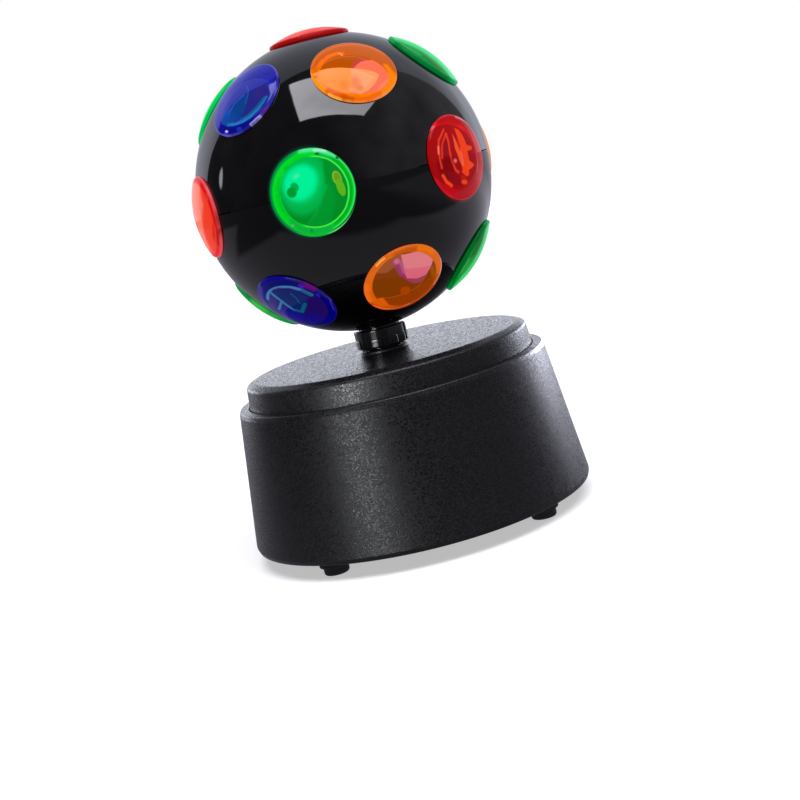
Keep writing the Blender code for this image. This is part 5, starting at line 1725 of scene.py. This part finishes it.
def make_floor():
    work = bmesh.new()
    bmesh.ops.create_grid(work, x_segments=2, y_segments=2, size=8.0)
    mesh = bpy.data.meshes.new("floor")
    work.to_mesh(mesh)
    work.free()
    floor = bpy.data.objects.new("floor", mesh)
    floor.location.z = -0.00005
    SCENE.collection.objects.link(floor)
    made = bpy.data.materials.new("floor_white")
    made.use_nodes = True
    net = Net(made.node_tree)
    made.node_tree.nodes.clear()
    out = net.add("ShaderNodeOutputMaterial")
    path = net.add("ShaderNodeLightPath")
    white = net.add("ShaderNodeBsdfDiffuse")
    white.inputs["Color"].default_value = (0.62, 0.62, 0.62, 1)
    lift = net.add("ShaderNodeEmission")
    lift.inputs["Color"].default_value = (1, 1, 1, 1)
    lift.inputs["Strength"].default_value = 0.48
    both = net.add("ShaderNodeAddShader")
    net.put(both.inputs[0], white.outputs[0])
    net.put(both.inputs[1], lift.outputs[0])
    # For rays other than the camera's the floor glows with painted light by place: a pale sheet that ends a little in
    # front of the object and to its left, beyond which the floor is dark; to the right and behind it grows lighter.
    spot_mm = net.vector("SCALE", net.add("ShaderNodeNewGeometry").outputs["Position"], scale=1000.0)
    x, y, _ = net.split(spot_mm)
    slant = net.math("MULTIPLY", net.math("MAXIMUM", net.math("SUBTRACT", x, 100.0), 0.0), 0.9)
    near = net.steps(net.math("SUBTRACT", y, slant), -185.0, -145.0)
    behind_left = net.math("MULTIPLY", net.steps(y, 100.0, 170.0), net.steps(x, -1000.0, -700.0))
    flank = net.math("MAXIMUM", net.steps(x, -310.0, -250.0), behind_left)
    sheet = net.math("MULTIPLY", near, flank)
    rise = net.math("MULTIPLY", net.math("MAXIMUM", net.math("SUBTRACT", x, 120.0), 0.0), 0.0016)
    rise = net.math("ADD", rise, net.math("MULTIPLY", net.math("MAXIMUM", y, 0.0), net.steps(x, 0.0, 150.0, 0.0, 0.0007)))
    rise = net.math("MULTIPLY", net.math("MINIMUM", rise, 0.62), net.steps(y, 260.0, 800.0, 1.0, 0.35))
    bright = net.math("ADD", 0.31, rise)
    dark = net.math("MULTIPLY", net.steps(x, 150.0, 340.0), net.steps(y, -900.0, -500.0, 0.02, 0.15))
    dark = net.math("ADD", dark, 0.09)
    level = net.math("ADD", net.math("MULTIPLY", sheet, net.math("SUBTRACT", bright, dark)), dark)
    dim = net.add("ShaderNodeEmission")
    dim.inputs["Color"].default_value = (0.98, 0.97, 1.12, 1)
    net.put(dim.inputs["Strength"], level)
    seen = net.add("ShaderNodeMixShader")
    net.put(seen.inputs[0], path.outputs["Is Camera Ray"])
    net.put(seen.inputs[1], dim.outputs[0])
    net.put(seen.inputs[2], both.outputs[0])
    under = net.add("ShaderNodeMixShader")
    clear = net.add("ShaderNodeBsdfTransparent")
    net.put(under.inputs[0], net.add("ShaderNodeNewGeometry").outputs["Backfacing"])
    net.put(under.inputs[1], seen.outputs[0])
    net.put(under.inputs[2], clear.outputs[0])
    net.put(out.inputs["Surface"], under.outputs[0])
    mesh.materials.append(made)


make_floor()


def make_world():
    """A dark room in front, a pale backdrop behind, one overhead softbox and a thin side
    strip, drawn by direction. The camera itself sees plain white."""
    world = bpy.data.worlds.new("studio")
    SCENE.world = world
    world.use_nodes = True
    tree = world.node_tree
    tree.nodes.clear()
    net = Net(tree)
    way = net.add("ShaderNodeTexCoord").outputs["Generated"]
    x, y, z = net.split(way)
    behind = net.math("MAXIMUM", y, 0.001)
    bx = net.math("DIVIDE", x, behind)
    bz = net.math("DIVIDE", z, behind)
    over = net.math("MAXIMUM", z, 0.001)
    cx = net.math("DIVIDE", x, over)
    cy = net.math("DIVIDE", y, over)

    # Backdrop behind, seen as the pale bands along the ball's rim.
    left = net.math("ADD", bx, net.math("MULTIPLY_ADD", bz, 0.2, 0.95))
    right = net.math(
        "SUBTRACT",
        net.math("ADD", net.math("MULTIPLY_ADD", bz, 0.56, 1.27), net.math("MULTIPLY", net.math("MULTIPLY", bz, bz), -0.05)),
        bx,
    )
    top = net.math("SUBTRACT", y, net.math("MULTIPLY", z, 0.19))
    wall = net.math("MULTIPLY", net.steps(left, -0.02, 0.02), net.steps(right, -0.03, 0.03))
    wall = net.math("MULTIPLY", wall, net.steps(top, -0.008, 0.012))
    wall = net.math("MULTIPLY", wall, net.steps(y, 0.0, 0.01))
    flank = net.steps(net.math("ABSOLUTE", net.math("SUBTRACT", bx, 0.1)), 0.3, 0.85)
    flank = net.math("MULTIPLY", flank, net.steps(bz, 1.1, 0.55))
    low_right = net.math("MULTIPLY", net.steps(bx, 0.55, 0.8), net.steps(bz, 0.5, 0.25))
    pale = net.math("MULTIPLY_ADD", flank, 0.30, 0.47)
    pale = net.math("MULTIPLY", pale, net.steps(bx, 0.05, 0.5, 1.0, 0.82))
    pale = net.math("MULTIPLY_ADD", low_right, 0.26, pale)
    wall_light = net.math("MULTIPLY", wall, pale)

    # Overhead softbox: a turned rectangle on the ceiling.
    corners = [(-0.457, -0.63), (0.509, -0.889), (0.76, -0.22), (-0.272, 0.078)]
    least = None
    for (ax, ay), (qx, qy) in zip(corners, corners[1:] + corners[:1]):
        dx, dy = qx - ax, qy - ay
        size = math.hypot(dx, dy)
        nx, ny = -dy / size, dx / size
        reach = net.math("ADD", net.math("MULTIPLY", cx, nx), net.math("MULTIPLY_ADD", cy, ny, -(nx * ax + ny * ay)))
        least = reach if least is None else net.math("MINIMUM", least, reach)
    box = net.math("MULTIPLY", net.steps(least, -0.006, 0.012), net.steps(z, 0.02, 0.05))
    box_light = net.math("MULTIPLY", box, net.steps(net.noise(way, 2.2, 2.0), 0.3, 0.7, 5.0, 7.6, "LINEAR"))

    # Thin strip at the left, and the dim room.
    strip = net.steps(net.vector("LENGTH", net.joined(
        net.math("DIVIDE", net.math("ADD", net.math("DIVIDE", x, net.math("MAXIMUM", net.math("ABSOLUTE", y), 0.001)), 2.36), 0.26),
        net.math("DIVIDE", net.math("SUBTRACT", z, 0.262), 0.075))), 1.25, 0.7)
    strip = net.math("MULTIPLY", strip, net.steps(y, 0.0, 0.02))
    strip_light = net.math("MULTIPLY", strip, 3.2)
    room = net.steps(x, -0.2, 0.75, 0.068, 0.31)
    room = net.math("MULTIPLY", room, net.steps(net.noise(way, 2.6, 3.0), 0.25, 0.7, 0.55, 1.3, "LINEAR"))
    total = net.math("ADD", net.math("ADD", wall_light, box_light), net.math("ADD", strip_light, room))
    tone = net.mix(wall, (1.0, 0.98, 1.06), (0.96, 0.99, 1.15))
    made = net.vector("SCALE", tone, scale=total)

    light = net.add("ShaderNodeBackground")
    net.put(light.inputs["Color"], made)
    plain = net.add("ShaderNodeBackground")
    plain.inputs["Color"].default_value = (1, 1, 1, 1)
    plain.inputs["Strength"].default_value = 1.0
    pick = net.add("ShaderNodeMixShader")
    net.put(pick.inputs[0], net.add("ShaderNodeLightPath").outputs["Is Camera Ray"])
    net.put(pick.inputs[1], light.outputs[0])
    net.put(pick.inputs[2], plain.outputs[0])
    out = net.add("ShaderNodeOutputWorld")
    net.put(out.inputs["Surface"], pick.outputs[0])


make_world()


def area_light(name, azimuth, elevation, distance, size, power, tall=None, colour=(1, 1, 1), aim=(0, 0, 80)):
    data = bpy.data.lights.new(name, "AREA")
    data.shape = "RECTANGLE"
    data.size = size * MM
    data.size_y = (tall or size) * MM
    data.energy = power
    data.color = colour
    obj = bpy.data.objects.new(name, data)
    SCENE.collection.objects.link(obj)
    way = lens_direction(elevation, azimuth)
    target = Vector(aim) * MM
    obj.location = target + way * distance * MM
    obj.rotation_mode = "QUATERNION"
    obj.rotation_quaternion = way.to_track_quat("Z", "Y")
    return obj


def only_for(light, names):
    """Limit a light to the named pieces."""
    lit = bpy.data.collections.new("lit_by_" + light.name)
    SCENE.collection.children.link(lit)
    for part in names:
        lit.objects.link(bpy.data.objects[part])
    light.light_linking.receiver_collection = lit
    light.visible_camera = False


BASE_PIECES = ("base_cap_skin", "base_housing_skin", "ball_hub_skin", "collar_ring_skin")
key = area_light("front_left", -38.0, 2.0, 1100.0, 360.0, 7.2, 360.0, colour=(0.97, 1.0, 1.03), aim=(0, 0, 50))
only_for(key, BASE_PIECES)
cap_key = area_light("front_left_cap", -39.0, 3.0, 1100.0, 340.0, 5.6, 360.0, colour=(0.97, 1.0, 1.03), aim=(0, 0, 56))
only_for(cap_key, ("base_cap_skin",))
back = area_light("behind", 178.0, 7.5, 1000.0, 1500.0, 1.55, 240.0, colour=(0.95, 0.98, 1.08), aim=(0, 0, 58))
only_for(back, BASE_PIECES)
right_back = area_light("right_behind", 131.0, 2.0, 900.0, 700.0, 10.6, 340.0, colour=(0.93, 0.96, 1.12), aim=(0, 0, 40))
only_for(right_back, ("base_housing_skin",))
cap_back = area_light("right_behind_cap", 131.0, 1.0, 900.0, 680.0, 4.2, 240.0, colour=(0.93, 0.96, 1.12), aim=(0, 0, 52))
only_for(cap_back, ("base_cap_skin",))
left_back = area_light("left_behind", -150.0, 8.0, 900.0, 420.0, 1.0, 420.0, colour=(0.95, 0.98, 1.08), aim=(0, 0, 50))
only_for(left_back, BASE_PIECES)

# The painted lamp glow of the lens domes lights the ball shells and not the base.
shells = bpy.data.collections.new("lit_by_lenses")
SCENE.collection.children.link(shells)
for part in bpy.data.objects:
    if part.name in ("ball_upper_skin", "ball_lower_skin"):
        shells.objects.link(part)
for lens_name, _, _, _ in LENSES:
    bpy.data.objects[lens_name + "_dome"].light_linking.receiver_collection = shells
